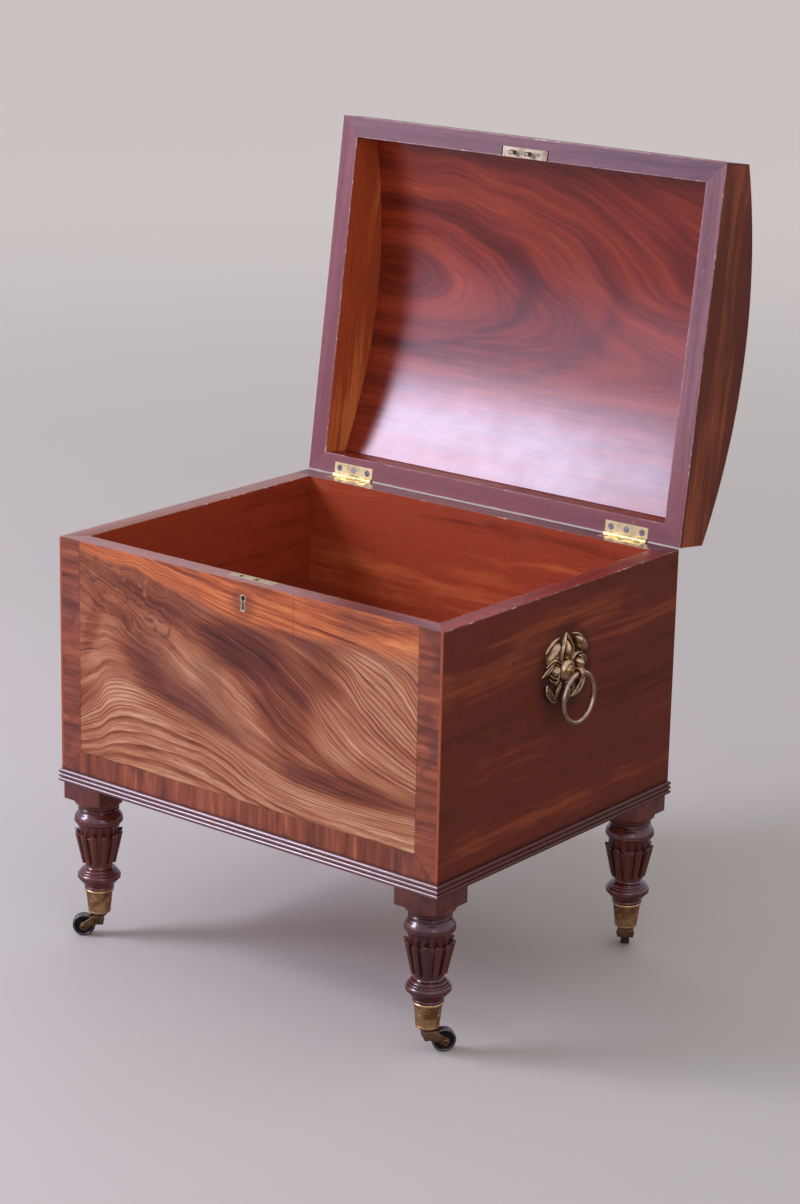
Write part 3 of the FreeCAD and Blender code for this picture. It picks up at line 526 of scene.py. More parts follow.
# Lines in the grain: (level, reach, strength, start, end)
sideLines = [(455, 11, 0.3, -190, 50), (447, 8, 0.26, 0, 160), (385, 6, 0.2, -100, 221), (330, 7, 0.22, -221, 80),
             (290, 6, 0.3, -221, 60), (243, 6, 0.26, -221, 80), (228, 4, 0.22, -40, 180), (470, 5, 0.16, 40, 221)]
plain = {
    "box": boardWood("mahoganyBox", "x", ((66, 28, 19), (104, 46, 29), (146, 74, 44))),
    "ends": boardWood("mahoganyEnds", "y", ((66, 24, 15), (102, 41, 25), (152, 72, 40)), rim=endRim, lines=sideLines,
                      roughness=0.38, halo=True, seed=2.0, specular=0.25),
    # The front and back moulding is painted paler and pinker than the other mahogany, partly a painted highlight on its
    # reeds
    "moulding": boardWood("mahoganyMoulding", "x", ((120, 58, 50), (160, 88, 76), (200, 134, 116)), roughness=0.34,
                          seed=41.0, specular=1.0, depth=0.06, coat=1.0),
    "mouldingSides": boardWood("mahoganyMouldingSides", "y", ((82, 35, 23), (120, 55, 34), (168, 87, 51)),
                               roughness=0.18, seed=43.0, depth=0.06),
    "lid": boardWood("mahoganyLid", "x", lidTones, ((96, 32, 22), (134, 50, 34), (170, 78, 48)), lidRim, onLid=True,
                     seed=5.0),
    "lidBack": boardWood("mahoganyLidBack", "x", lidTones, ((84, 24, 16), (118, 38, 24), (150, 60, 36)), lidBackRim,
                         onLid=True, seed=6.0),
    # The broad band is no grain line: it paints the lid's ends lighter toward the hinge, a painted glow of light
    "lidEnds": boardWood("mahoganyLidEnds", "y", ((52, 22, 15), (100, 46, 31), (150, 76, 48)),
                         ((118, 46, 26), (186, 86, 48), (240, 140, 80)), lidEndRim, [(560, 130, 0.62, -20, 400)],
                         onLid=True, seed=7.0, contrast=1.4, specular=0.3),
    "lidInside": lidInside("mahoganyLidInside"),
    "legs": turnedWood("mahoganyLegs"),
    "front": flameVeneer("flameVeneer"),
    "bands": bandVeneer("bandVeneer"),
    "lidBands": bandVeneer("lidBandVeneer", True, 23.0),
    "lidVeneer": boardWood("lidVeneer", "x", goldTones, goldTones, lidRim, onLid=True, seed=29.0, contrast=1.5),
    "strings": boardWood("mahoganyStrings", "z", ((124, 58, 36), (160, 80, 50), (188, 104, 66)), seed=31.0),
    "hinge": brass("hingeBrass", (232, 214, 156), (188, 168, 116), (84, 68, 46), 0.34, 0.42, 1.0),
    "keyhole": brass("keyholeBrass", (250, 240, 208), (224, 208, 172), (96, 80, 58), 0.55, 0.3, 4.0),
    "link": brass("linkBrass", (166, 152, 126), (126, 112, 90), (66, 56, 46), 0.36, 0.45, 2.0),
    "cast": brass("castBrass", (236, 202, 152), (112, 88, 64), (20, 17, 22), 0.24, 0.54, 3.0, True),
    "ring": brass("ringBrass", (214, 184, 160), (150, 120, 100), (60, 46, 38), 0.2, 0.4, 5.0),
    "castor": brass("castorBrass", (244, 200, 140), (142, 102, 66), (30, 21, 18), 0.34, 0.5, 7.0, True),
    # The horns are a darker brass than the cups: patina, and partly a painted shade under the cups
    "horns": brass("hornBrass", (150, 118, 82), (80, 62, 46), (24, 20, 18), 0.34, 0.6, 7.0, True),
    "wheels": brass("wheelBrass", (136, 132, 122), (74, 70, 64), (22, 19, 18), 0.3, 0.56, 8.0, True),
    "steel": brass("screwSteel", (164, 160, 156), (112, 106, 102), (44, 38, 34), 0.4, 0.5, 9.0),
}
slotFinish = {"mahogany": "box", "figured_veneer": "front", "crossband_veneer": "bands", "stringing": "strings",
              "turned_mahogany": "legs", "hinge_brass": "hinge", "cast_brass": "cast", "ring_brass": "ring",
              "castor_brass": "castor", "screw_steel": "steel"}
nodeFinish = {"handle_nuts": "hinge", "keyhole_escutcheon": "keyhole", "link_plate": "link",
              "left_end_board": "ends", "right_end_board": "ends", "lid_front_rail": "lid",
              "lid_back_rail": "lidBack", "lid_top_panel": "lidInside", "lid_left_end": "lidEnds",
              "lid_right_end": "lidEnds", "lid_veneer": "lidVeneer", "lid_crossbanding": "lidBands"}
slotNames = {name: node.material_slots[0].name for name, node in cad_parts.items()}


def finishOf(node):
    return plain[nodeFinish.get(node, slotFinish[slotNames[node]])]


for name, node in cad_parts.items():
    node.material_slots[0].material = finishOf(name)
print("woods and metals ready")


# Mesh tools

def newObject(name, data):
    made = bpy.data.objects.new(name, data)
    bpy.context.scene.collection.objects.link(made)
    return made


def pieceOf(name, bm, smooth=35.0):
    mesh = bpy.data.meshes.new(name)
    bm.to_mesh(mesh)
    bm.free()
    mesh.shade_smooth()
    mesh.set_sharp_from_angle(angle=math.radians(smooth))
    return newObject(name, mesh)


def camel(node):
    first, *rest = node.split("_")
    return first + "".join(word.title() for word in rest)


def applied(piece):
    # The mesh with its modifiers in it
    shape = piece.evaluated_get(bpy.context.evaluated_depsgraph_get())
    mesh = bpy.data.meshes.new_from_object(shape)
    piece.modifiers.clear()
    piece.data = mesh
    return piece


def evenShading(piece):
    # Keeps large flat faces flat beside their rounded edges
    made = piece.modifiers.new("evenShading", "WEIGHTED_NORMAL")
    made.keep_sharp, made.weight = True, 90
    return applied(piece)


def fit(piece, body, node, finish=None):
    # The piece stands for a node of the model and takes its slot
    piece.data.materials.clear()
    piece.data.materials.append(plain[finish] if finish else finishOf(node))
    for face in piece.data.polygons:
        face.material_index = 0
    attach(piece, body)
    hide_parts(node)


def joined(name, pieces):
    # One piece out of several
    bm = bmesh.new()
    for piece in pieces:
        bm.from_mesh(piece.data)
    for piece in pieces:
        bpy.data.objects.remove(piece)
    return pieceOf(name, bm)


def moved(piece, matrix):
    piece.data.transform(matrix)
    return piece


def placedCopy(piece, name, matrix):
    return moved(newObject(name, piece.data.copy()), matrix)


def shiftTo(x, y, z):
    return Matrix.Translation((x * mm, y * mm, z * mm))


def turnAbout(axis, degrees):
    return Matrix.Rotation(math.radians(degrees), 4, axis)


def around(steps):
    # Even angles round a circle
    return [2 * math.pi * i / steps for i in range(steps)]


def addRows(bm, rows, endless=False):
    # A skin over rows of points in millimetres, each row a loop; endless joins the last row to the first
    rings = [[bm.verts.new([c * mm for c in point]) for point in row] for row in rows]
    for low, high in zip(rings, rings[1:] + rings[:1] if endless else rings[1:]):
        for i in range(len(low)):
            j = (i + 1) % len(low)
            bm.faces.new((low[i], low[j], high[j], high[i]))
    if not endless:
        bm.faces.new(rings[0])
        bm.faces.new(rings[-1])


def roundEdges(bm, edges, width, segments):
    bmesh.ops.bevel(bm, geom=edges, offset=width * mm, segments=segments, profile=0.5, affect="EDGES",
                    clamp_overlap=True)


def skin(name, rows, smooth, endless=False, bevel=0.0, segments=2, sharp=50):
    # A piece from rows of points, with edges of more than sharp degrees rounded
    bm = bmesh.new()
    addRows(bm, rows, endless)
    bmesh.ops.recalc_face_normals(bm, faces=bm.faces)
    if bevel:
        roundEdges(bm, [e for e in bm.edges if e.calc_face_angle(0) > math.radians(sharp)], bevel, segments)
    return pieceOf(name, bm, smooth)


def arcPoints(start, middle, end, steps):
    # Points of the circle through three points, without the first one
    (ax, ay), (bx, by), (cx, cy) = start, middle, end
    d = 2 * (ax * (by - cy) + bx * (cy - ay) + cx * (ay - by))
    ux = ((ax * ax + ay * ay) * (by - cy) + (bx * bx + by * by) * (cy - ay) + (cx * cx + cy * cy) * (ay - by)) / d
    uy = ((ax * ax + ay * ay) * (cx - bx) + (bx * bx + by * by) * (ax - cx) + (cx * cx + cy * cy) * (bx - ax)) / d
    radius = math.hypot(ax - ux, ay - uy)
    first, mid, last = (math.atan2(y - uy, x - ux) for x, y in (start, middle, end))
    sweep = (last - first) % (2 * math.pi)
    if (mid - first) % (2 * math.pi) > sweep:
        sweep -= 2 * math.pi
    return [(ux + radius * math.cos(first + sweep * i / steps), uy + radius * math.sin(first + sweep * i / steps))
            for i in range(1, steps + 1)]


def outlineOf(start, path, steps):
    # A path step is (x, y), or (middle x, middle y, x, y) for an arc
    points = [start]
    for step in path:
        points += [step] if len(step) == 2 else arcPoints(points[-1], step[:2], step[2:], steps)
    return points


def lathe(name, profile, segments, smooth=28.0):
    # A turning about Z from a profile of (radius, height) in millimetres, closed where it meets the axis
    bm = bmesh.new()
    rings = []
    for radius, height in profile:
        if radius < 1e-6:
            rings.append([bm.verts.new((0, 0, height * mm))])
            continue
        rings.append([bm.verts.new((radius * mm * math.cos(a), radius * mm * math.sin(a), height * mm))
                      for a in around(segments)])
    for low, high in zip(rings, rings[1:]):
        for i in range(segments):
            j = (i + 1) % segments
            loop = [low[i % len(low)], low[j % len(low)], high[j % len(high)], high[i % len(high)]]
            kept = [v for k, v in enumerate(loop) if v not in loop[:k]]
            if len(kept) > 2:
                bm.faces.new(kept)
    for ring in (rings[0], rings[-1]):
        if len(ring) > 1:
            bm.faces.new(ring)
    bmesh.ops.recalc_face_normals(bm, faces=bm.faces)
    return pieceOf(name, bm, smooth)


def slab(name, outline, low, high, bevel, standing=False):
    # A flat outline in millimetres with thickness and rounded edges; a standing one is an outline in X and Z
    rows = [[(a, c, b) if standing else (a, b, c) for a, b in outline] for c in (low, high)]
    return skin(name, rows, 40.0, False, bevel, 3, 30)


def block(name, low, high, bevel):
    outline = [(low[0], low[1]), (high[0], low[1]), (high[0], high[1]), (low[0], high[1])]
    return slab(name, outline, low[2], high[2], bevel)


def softened(node, name, width, keepMitres, onLid):
    # A copy of a board from the model with its edges rounded; mitred joints stay tight
    bm = bmesh.new()
    bm.from_mesh(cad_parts[node].data)
    bmesh.ops.remove_doubles(bm, verts=bm.verts, dist=2e-6)
    bmesh.ops.dissolve_limit(bm, angle_limit=math.radians(0.6), verts=bm.verts, edges=bm.edges)
    upright = lidClosed.to_3x3() if onLid else Matrix.Identity(3)

    def isMitre(face):
        n = upright @ face.normal
        return keepMitres and abs(abs(n.x) - abs(n.y)) < 0.05 and abs(n.x) > 0.5

    sharp = [e for e in bm.edges if e.calc_face_angle(0) > math.radians(38)
             and not any(isMitre(f) for f in e.link_faces)]
    roundEdges(bm, sharp, width, 2)
    return evenShading(pieceOf(name, bm, 45.0))


def hollowsMarked(piece, rounds, gain):
    # An attribute that is 0 in hollows, 0.5 on the flat and 1 on raised edges: for painted shade in the legs' hollows
    # and a painted highlight on their edges, and for dirt and polish on the brasses
    bm = bmesh.new()
    bm.from_mesh(piece.data)
    bm.normal_update()
    raised = []
    for v in bm.verts:
        away = [e.other_vert(v).co - v.co for e in v.link_edges]
        raised.append(sum(-v.normal.dot(a.normalized()) for a in away) / max(len(away), 1))
    links = [[e.other_vert(v).index for e in v.link_edges] for v in bm.verts]
    for _ in range(rounds):
        raised = [0.5 * r + 0.5 * sum(raised[j] for j in near) / max(len(near), 1) for r, near in zip(raised, links)]
    bm.free()
    mark = piece.data.attributes.new("raised", "FLOAT", "POINT")
    mark.data.foreach_set("value", [min(1.0, max(0.0, 0.5 + gain * r)) for r in raised])
    return piece


# Geometry Nodes for what repeats

class CopyTree(NodeMaker):
    # Sets copies of a piece on points, each turned about Z
    def __init__(self, name, **inputs):
        tree = bpy.data.node_groups.new(name, "GeometryNodeTree")
        tree.interface.new_socket("Geometry", in_out="INPUT", socket_type="NodeSocketGeometry")
        for key, kind in inputs.items():
            tree.interface.new_socket(key, in_out="INPUT", socket_type="NodeSocket" + kind)
        tree.interface.new_socket("Geometry", in_out="OUTPUT", socket_type="NodeSocketGeometry")
        super().__init__(tree)
        given = tree.nodes.new("NodeGroupInput").outputs
        self.given = {key: Value(self, given[key]) for key in ("Geometry", *inputs)}

    def finish(self, spots, angle):
        copies = self.node("GeometryNodeInstanceOnPoints", Points=spots, Instance=self.given["Geometry"],
                           Rotation=self.vector(0.0, 0.0, angle))
        real = self.node("GeometryNodeRealizeInstances", Geometry=copies)
        painted = self.node("GeometryNodeSetMaterial", Geometry=real, Material=self.given["Finish"])
        self.end("NodeGroupOutput", painted)
        return self.tree


def copiesAroundTree():
    # Copies of a piece set evenly round Z
    made = CopyTree("copiesAround", Count="Int", Finish="Material")
    spots = made.node("GeometryNodeMeshLine", Count=made.given["Count"], Offset=(0, 0, 0))
    step = made.math("DIVIDE", 2 * math.pi, made.given["Count"])
    return made.finish(spots, made.node("GeometryNodeInputIndex") * step)


def copiesInRowTree():
    # Copies of a piece in a row along X, each turned a little by chance
    made = CopyTree("copiesInRow", Count="Int", Pitch="Float", Stray="Float", Seed="Int", Finish="Material")
    pitch, stray = made.given["Pitch"], made.given["Stray"]
    spots = made.node("GeometryNodeMeshLine", Count=made.given["Count"], Offset=made.vector(pitch, 0.0, 0.0))
    chance = made.node("FunctionNodeRandomValue", {"data_type": "FLOAT"}, None, None, stray * -1.0, stray, out=1,
                       Seed=made.given["Seed"])
    return made.finish(spots, chance)


copiesAround, copiesInRow = copiesAroundTree(), copiesInRowTree()


def repeated(piece, tree, **values):
    made = piece.modifiers.new("copies", "NODES")
    made.node_group = tree
    for item in tree.interface.items_tree:
        if item.in_out == "INPUT" and item.name in values:
            made[item.identifier] = values[item.name]
    return applied(piece)


print("tools ready")


# Legs

legForm = {"centre": (249.5, 191.5), "blockHalf": 28.7, "blockLow": 175.0, "blockHigh": 196.0, "reeds": 12,
           "reedLow": 94.8, "crown": 130.0, "reedFoot": 19.6, "reedTop": 27.4, "reedHalfFoot": 3.05,
           "reedHalfTop": 4.15, "crownWall": 3.0}
corners = {"front_left": (-1, -1), "front_right": (1, -1), "back_left": (-1, 1), "back_right": (1, 1)}


def cornerShift(corner):
    return shiftTo(*(side * centre for side, centre in zip(corners[corner], legForm["centre"])), 0)


def legTurning():
    profile = outlineOf((0, 176.5), [
        (28.6, 176.5), (28.6, 171.6), (28.4, 171.0), (27.9, 170.7), (25.2, 168.9, 24.1, 165.9), (23.9, 165.5),
        (23.1, 165.2), (22.9, 164.8), (23.2, 164.4), (24.5, 163.2, 23.3, 162.0), (22.7, 161.7), (22.4, 161.0),
        (22.7, 160.3), (23.4, 160.0), (24.4, 159.2), (24.9, 158.3), (24.6, 157.9), (25.0, 157.5),
        (27.6, 154.0, 28.6, 148.9), (28.5, 147.0, 27.5, 146.0), (26.7, 145.4), (26.1, 144.7), (22.7, 135.8),
        (22.4, 134.4), (22.2, 130.2), (22.5, 129.4), (23.2, 129.1), (23.6, 128.6), (15.7, 95.4), (15.6, 94.0),
        (15.3, 92.8), (15.2, 90.6), (16.2, 88.3, 18.2, 87.3), (18.8, 87.1), (19.1, 86.5), (20.3, 85.9, 20.8, 84.8),
        (20.9, 84.2), (21.6, 83.9), (22.7, 83.2, 23.0, 82.2), (23.1, 81.7), (23.7, 81.4), (25.2, 79.7, 25.45, 76.6),
        (25.3, 75.0, 24.2, 74.1), (17.5, 66.2), (17.0, 65.6), (16.9, 64.7), (17.5, 63.0, 17.2, 61.4), (16.7, 61.1),
        (14.2, 61.0), (0, 61.0)], 12)
    return lathe("legTurning", profile, 96)


def oneReed():
    # A flat reed with an arched top that stands free of the neck
    form, steps = legForm, 8
    rise, widening = form["crown"] - form["reedLow"], form["reedHalfTop"] - form["reedHalfFoot"]
    lean = (form["reedTop"] - form["reedFoot"]) / rise
    places = [(form["reedLow"] + rise * i / steps, form["reedHalfFoot"] + widening * i / steps)
              for i in range(steps + 1)]
    for i in range(1, steps + 1):
        a = math.radians(i * 10.4)
        places.append((form["crown"] + form["reedHalfTop"] * math.sin(a), form["reedHalfTop"] * math.cos(a)))
    rows = []
    for z, half in places:
        outer = form["reedFoot"] + lean * (z - form["reedLow"])
        inner = outer - form["crownWall"] - (1.0 if z < form["crown"] - 1 else 0.0)
        front = [(outer + 1.3 * (1 - side * side) - 0.5, side * half)
                 for side in (-1, -0.8, -0.5, -0.25, 0, 0.25, 0.5, 0.8, 1)]
        rows.append([(r, y, z) for r, y in front + [(inner, half), (inner, -half)]])
    return skin("oneReed", rows, 40.0, False, 0.3)


def makeLegs():
    reeds = repeated(oneReed(), copiesAround, Count=legForm["reeds"], Finish=plain["legs"])
    half = legForm["blockHalf"]
    foot = block("legBlock", (-half, -half, legForm["blockLow"]), (half, half, legForm["blockHigh"]), 0.9)
    leg = hollowsMarked(joined("leg", [foot, legTurning(), reeds]), 2, 1.2)
    for corner in corners:
        node = "leg_" + corner
        fit(placedCopy(leg, camel(node), cornerShift(corner)), "carcass", node)
    bpy.data.objects.remove(leg)


makeLegs()
print("legs ready")


# Castors

castorForm = {"trail": 18.5, "wheelRadius": 13.5, "wheelHalf": 5.25, "dish": 3.3, "screwHeight": 47.0, "headings": {
    "front_right": 52.0, "front_left": 220.0, "back_right": 124.0, "back_left": 140.0}}


def castorCup():
    profile = outlineOf((0, 30.4), [
        (11.8, 30.4), (13.0, 30.8, 13.4, 32.0), (13.4, 33.0), (13.2, 33.3), (13.35, 33.7), (13.5, 34.6), (15.7, 56.0),
        (15.9, 57.0), (16.5, 57.8), (17.15, 58.7), (17.4, 59.7, 17.2, 60.7), (16.7, 61.2), (15.2, 61.1), (14.8, 60.6),
        (14.3, 58.0), (0, 58.0)], 8)
    return lathe("castorCup", profile, 72)


def castorScrewHead():
    profile = [(0, 13.4), (1.5, 13.4), (1.5, 14.85), (1.3, 15.1), (0.9, 15.1), (0.6, 14.7), (0, 14.6)]
    head = lathe("castorScrewHead", profile, 20)
    return moved(head, shiftTo(0, 0, castorForm["screwHeight"]) @ turnAbout("Y", 90))


def castorHorn():
    # Two arms from a stem under a round plate, each with a round boss for the axle
    trail, axleZ, boss = castorForm["trail"], castorForm["wheelRadius"], 4.9
    arc = [(trail + boss * math.cos(a), axleZ + boss * math.sin(a))
           for a in (math.radians(76 - i * 16.5) for i in range(13))]
    arm = [(-4.4, 16.2), (-5.0, 17.0), (-5.0, 26.2), (3.4, 27.2), (7.6, 26.4), (13.4, 22.6)] + arc + [
        (12.9, 11.0), (9.4, 14.0), (3.4, 16.2)]
    arms = [slab("hornArm", arm, low, high, 0.6, True) for low, high in ((-9.7, -6.75), (6.75, 9.7))]
    stem = block("hornStem", (-5.0, -9.4, 16.2), (3.4, 9.4, 26.8), 0.7)
    rim = [(8.2, 26.4), (8.9, 27.0, 9.0, 28.2), (8.9, 29.4, 8.2, 29.9), (0, 29.9)]
    return joined("horn", arms + [stem, lathe("hornPlate", outlineOf((0, 26.4), rim, 5), 48)])


def atAxle():
    return shiftTo(castorForm["trail"], 0, castorForm["wheelRadius"]) @ turnAbout("X", 90)


def castorWheel():
    radius, half, dish = castorForm["wheelRadius"], castorForm["wheelHalf"], castorForm["dish"]
    side = outlineOf((2.1, half - 0.4), [
        (3.7, half - 0.4), (4.1, half - 0.7), (4.4, half - 1.4), (4.8, half - dish), (8.2, half - dish),
        (8.9, half - dish + 0.2), (10.6, half - 0.9), (11.1, half - 0.2), (11.6, half), (12.3, half),
        (13.2, half - 0.4, 13.45, half - 1.2)], 5)
    section = side + [(radius, half - 2.6), (radius, 2.6 - half)] + [(r, -h) for r, h in reversed(side)]
    rows = [[(r * math.cos(a), r * math.sin(a), h) for a in around(64)] for r, h in section]
    return moved(skin("castorWheel", rows, 28.0, True), atAxle())


def castorAxle():
    profile = outlineOf((0, -10.6), [(1.6, -10.6), (2.6, -10.5, 3.0, -9.9), (3.0, -9.7), (1.99, -9.6), (1.99, 9.6),
                                     (3.0, 9.7), (3.0, 9.9), (2.6, 10.5, 1.6, 10.6), (0, 10.6)], 4)
    return moved(lathe("castorAxle", profile, 28), atAxle())


def castorPin():
    profile = outlineOf((0, 14.4), [(2.2, 14.4), (3.0, 14.7, 3.2, 15.4), (3.2, 16.4), (2.4, 16.6), (2.4, 35.0),
                                    (0, 35.0)], 5)
    return lathe("castorPin", profile, 28)


def makeCastors():
    heads = repeated(castorScrewHead(), copiesAround, Count=4, Finish=plain["castor"])
    parts = {"cup": castorCup(), "horn": castorHorn(), "wheel": castorWheel(), "axle": castorAxle(),
             "screws": heads, "pin": castorPin()}
    for part in parts.values():
        hollowsMarked(part, 2, 1.4)
    pins, screws = [], []
    for corner in corners:
        node, shift = "castor_" + corner, cornerShift(corner)
        heading = shift @ turnAbout("Z", castorForm["headings"][corner])
        swivel, wheel = node + "_swivel", node + "_wheel"
        for part, body, place, finish in (("cup", "carcass", shift, "castor"), ("horn", swivel, heading, "horns"),
                                          ("axle", swivel, heading, "horns"), ("wheel", wheel, heading, "wheels")):
            fit(placedCopy(parts[part], camel(f"{node}_{part}"), place), body, f"{node}_{part}", finish)
        pins.append(placedCopy(parts["pin"], camel(node) + "Pin", shift))
        screws.append(placedCopy(parts["screws"], camel(node) + "Screws", shift))
    for part in parts.values():
        bpy.data.objects.remove(part)
    fit(joined("castorPins", pins), "carcass", "castor_pivot_pins")
    fit(joined("castorScrews", screws), "carcass", "castor_cup_screws")


makeCastors()
print("castors ready")


# Side handles

handleForm = {"faceX": 280.0, "centreZ": 403.0, "ringX": 301.0, "ringWire": 3.0, "ringMean": 28.5, "eyeMean": 5.35,
              "eyeWire": 1.7, "eyeHalf": 3.5, "eyeFlare": 0.6, "grain": 0.5, "petalSteps": 22, "sectionSteps": 14}


def smoothRows(spine, steps):
    # A smooth line through the points of a spine, read at even steps
    rows, last = [], len(spine) - 1
    for i in range(steps + 1):
        at = i / steps * last
        k = min(int(at), last - 1)
        f = at - k
        near = (spine[min(max(k + d, 0), last)] for d in (-1, 0, 1, 2))
        rows.append([0.5 * (2 * b + (c - a) * f + (2 * a - 5 * b + 4 * c - d) * f * f
                            + (3 * b - a - 3 * c + d) * f ** 3) for a, b, c, d in zip(*near)])
    return rows


def petal(bm, spine, section):
    # A leaf or bud along a spine of (y, z, rise, half width); the section gives the rise across it, from -1 to 1
    form, steps, rings = handleForm, handleForm["petalSteps"], []
    line = smoothRows(spine, steps)
    for i, (y, z, rise, half) in enumerate(line):
        ahead, behind = line[min(i + 1, steps)], line[max(i - 1, 0)]
        along = Vector((ahead[0] - behind[0], ahead[1] - behind[1])).normalized()
        half = max(half, 0.15)
        across = [(max(rise * lift, 0.3), side * half) for side, lift in section]
        rings.append([(form["faceX"] + x, y - along.y * off, form["centreZ"] + z + along.x * off)
                      for x, off in across + [(-1.0, 0.8 * half), (-1.0, -0.8 * half)]])
    addRows(bm, rings)


def sectionOf(shape):
    steps = handleForm["sectionSteps"]
    return [(s, shape(s)) for s in (-1 + 2 * i / steps for i in range(steps + 1))]


sections = {
    "bud": sectionOf(lambda s: math.sqrt(max(0.0, 1 - s * s))),
    "leaf": sectionOf(lambda s: 0.62 + 0.3 * abs(s) ** 1.5 - 3.0 * max(0.0, abs(s) - 0.82)
                      + 0.34 * max(0.0, 1 - abs(s) / 0.16)),
    "fold": sectionOf(lambda s: 1.0 - 0.55 * abs(s) - 1.5 * max(0.0, abs(s) - 0.8)),
    "rim": sectionOf(lambda s: max(0.0, 1 - abs(s)) ** 0.5),
}
leavesInMiddle = [
    ("bud", (0, 11, 4, 0.6), (0, 15.5, 7.5, 4.2), (0, 22, 9, 5), (0, 28.5, 7.5, 3.2), (0, 34, 3.5, 0.5)),
    ("leaf", (0, -9, 7, 2), (0, -16, 8.5, 3.8), (0, -25, 9.5, 4.4), (0, -33, 8, 3.2), (0, -41.5, 3, 0.4))]
leavesAtSide = [
    ("bud", (37, 14, 3, 0.5), (33.5, 18.5, 7.5, 4.4), (27, 25, 9.5, 6.4), (20.5, 31, 8.5, 5.2), (16.5, 34.5, 4, 0.8)),
    ("rim", (36, 25, 1.2, 0.6), (31, 31, 2.6, 1.6), (22, 36.5, 3, 1.8), (12, 39, 1.8, 0.6)),
    ("fold", (10, 9, 4, 0.8), (18, 14, 4.5, 2.4), (27, 14.5, 4, 2.4), (35, 9.5, 2, 0.6)),
    ("fold", (8.5, 7, 4.5, 0.8), (10.5, 16, 6, 2.2), (8.6, 27, 6.2, 2.4), (4, 35.5, 5, 2), (0.2, 42.5, 2.4, 0.6)),
    ("bud", (17.5, 8, 5, 2), (20.5, 5.5, 9.5, 5.2), (24, 2, 10.5, 5.6), (27, -1.5, 6, 2)),
    ("rim", (14, -1.5, 5, 0.7), (19, -4.2, 8.5, 1.5), (26, -3.8, 8, 1.5), (30.5, 1, 4, 0.7)),
    ("rim", (15, -5.5, 4.5, 0.7), (20, -8.6, 7, 1.6), (26.5, -8, 6.5, 1.6), (30.5, -4, 3, 0.6)),
    ("leaf", (24, 11, 4, 0.8), (30, 8, 6, 3.2), (36, 4, 5, 2.8), (42.5, -1, 1.5, 0.4)),
    ("leaf", (33.5, -11, 3, 0.6), (33.5, -17, 5, 3.4), (28.5, -24.5, 6, 4.6), (21, -31, 5, 3.6), (12.5, -35, 2, 0.5)),
    ("leaf", (8, -13, 4, 0.8), (12.5, -18, 5.5, 2.6), (15.5, -24.5, 4.5, 2.6), (15, -30, 2, 0.5))]


def handlePlace():
    # Turns a piece made about Z outwards, at the middle of the right handle
    return shiftTo(handleForm["faceX"], 0, handleForm["centreZ"]) @ turnAbout("Y", 90)


def makeRosette():
    bm = bmesh.new()
    for kind, *spine in leavesInMiddle:
        petal(bm, spine, sections[kind])
    for side in (-1, 1):
        for kind, *spine in leavesAtSide:
            petal(bm, [(side * y, z, rise, half) for y, z, rise, half in spine], sections[kind])
    # The ground behind them and the boss that carries the eye
    for low, high, top in ((22.0, 1.8, 19.0), (12.5, 8.6, 9.0)):
        profile = [(low, -1), (low, high * 0.4), ((low + top) / 2 + 0.6, high * 0.75, top, high), (0, high + 0.3)]
        disc = moved(lathe("ground", outlineOf((0, -1), profile, 5), 48), handlePlace())
        bm.from_mesh(disc.data)
        bpy.data.objects.remove(disc)
    bmesh.ops.recalc_face_normals(bm, faces=bm.faces)
    # One casting: the leaves melt into one skin
    cast = pieceOf("rosette", bm)
    made = cast.modifiers.new("grain", "REMESH")
    made.mode, made.voxel_size, made.use_smooth_shade = "VOXEL", handleForm["grain"] * mm, True
    soft = cast.modifiers.new("soft", "SMOOTH")
    soft.factor, soft.iterations = 0.5, 2
    return hollowsMarked(applied(cast), 3, 2.6)


def makeEye():
    # A loop for the ring on a waisted neck, and the stud that goes through the wall
    form = handleForm
    waist = [(5.4, 7.5), (6.0, 8.4, 5.4, 9.4), (4.4, 10.0), (3.7, 12.4, 4.4, 15.6), (0, 16.0)]
    neck = lathe("eyeNeck", outlineOf((0, 7.5), waist, 8), 40)
    stud = lathe("stud", [(0, -24.4), (2.45, -24.4), (2.45, 8.0), (0, 8.0)], 20)

    def squared(wave):
        return math.copysign(abs(wave) ** 0.75, wave)

    rows = []
    for a in around(48):
        half = form["eyeHalf"] + form["eyeFlare"] * math.sin(a)
        section = [(form["eyeMean"] + form["eyeWire"] * squared(math.cos(b)), half * squared(math.sin(b)))
                   for b in around(16)]
        rows.append([(form["ringX"] + radial * math.cos(a), side, form["centreZ"] + radial * math.sin(a))
                     for radial, side in section])
    loop = skin("loop", rows, 40.0, True)
    return hollowsMarked(joined("eye", [moved(neck, handlePlace()), loop, moved(stud, handlePlace())]), 2, 1.2)


def makeRing():
    form, rows = handleForm, []
    for a in around(128):
        section = [(form["ringMean"] + form["ringWire"] * math.cos(b), form["ringWire"] * math.sin(b))
                   for b in around(20)]
        rows.append([(form["ringX"] + outwards, radial * math.sin(a),
                      form["centreZ"] - form["ringMean"] + radial * math.cos(a)) for radial, outwards in section])
    return skin("ring", rows, 60.0, True)


def makeHandles():
    parts = {"rosette": makeRosette(), "eye": makeEye(), "ring": makeRing()}
    for side, degrees in (("right", 0), ("left", 180)):
        for part, piece in parts.items():
            copy = placedCopy(piece, f"{side}Handle{part.title()}", turnAbout("Z", degrees))
            fit(copy, f"{side}_ring" if part == "ring" else "carcass", f"handle_{side}_{part}")
    for piece in parts.values():
        bpy.data.objects.remove(piece)


makeHandles()
print("handles ready")


# Boards of the box and the lid

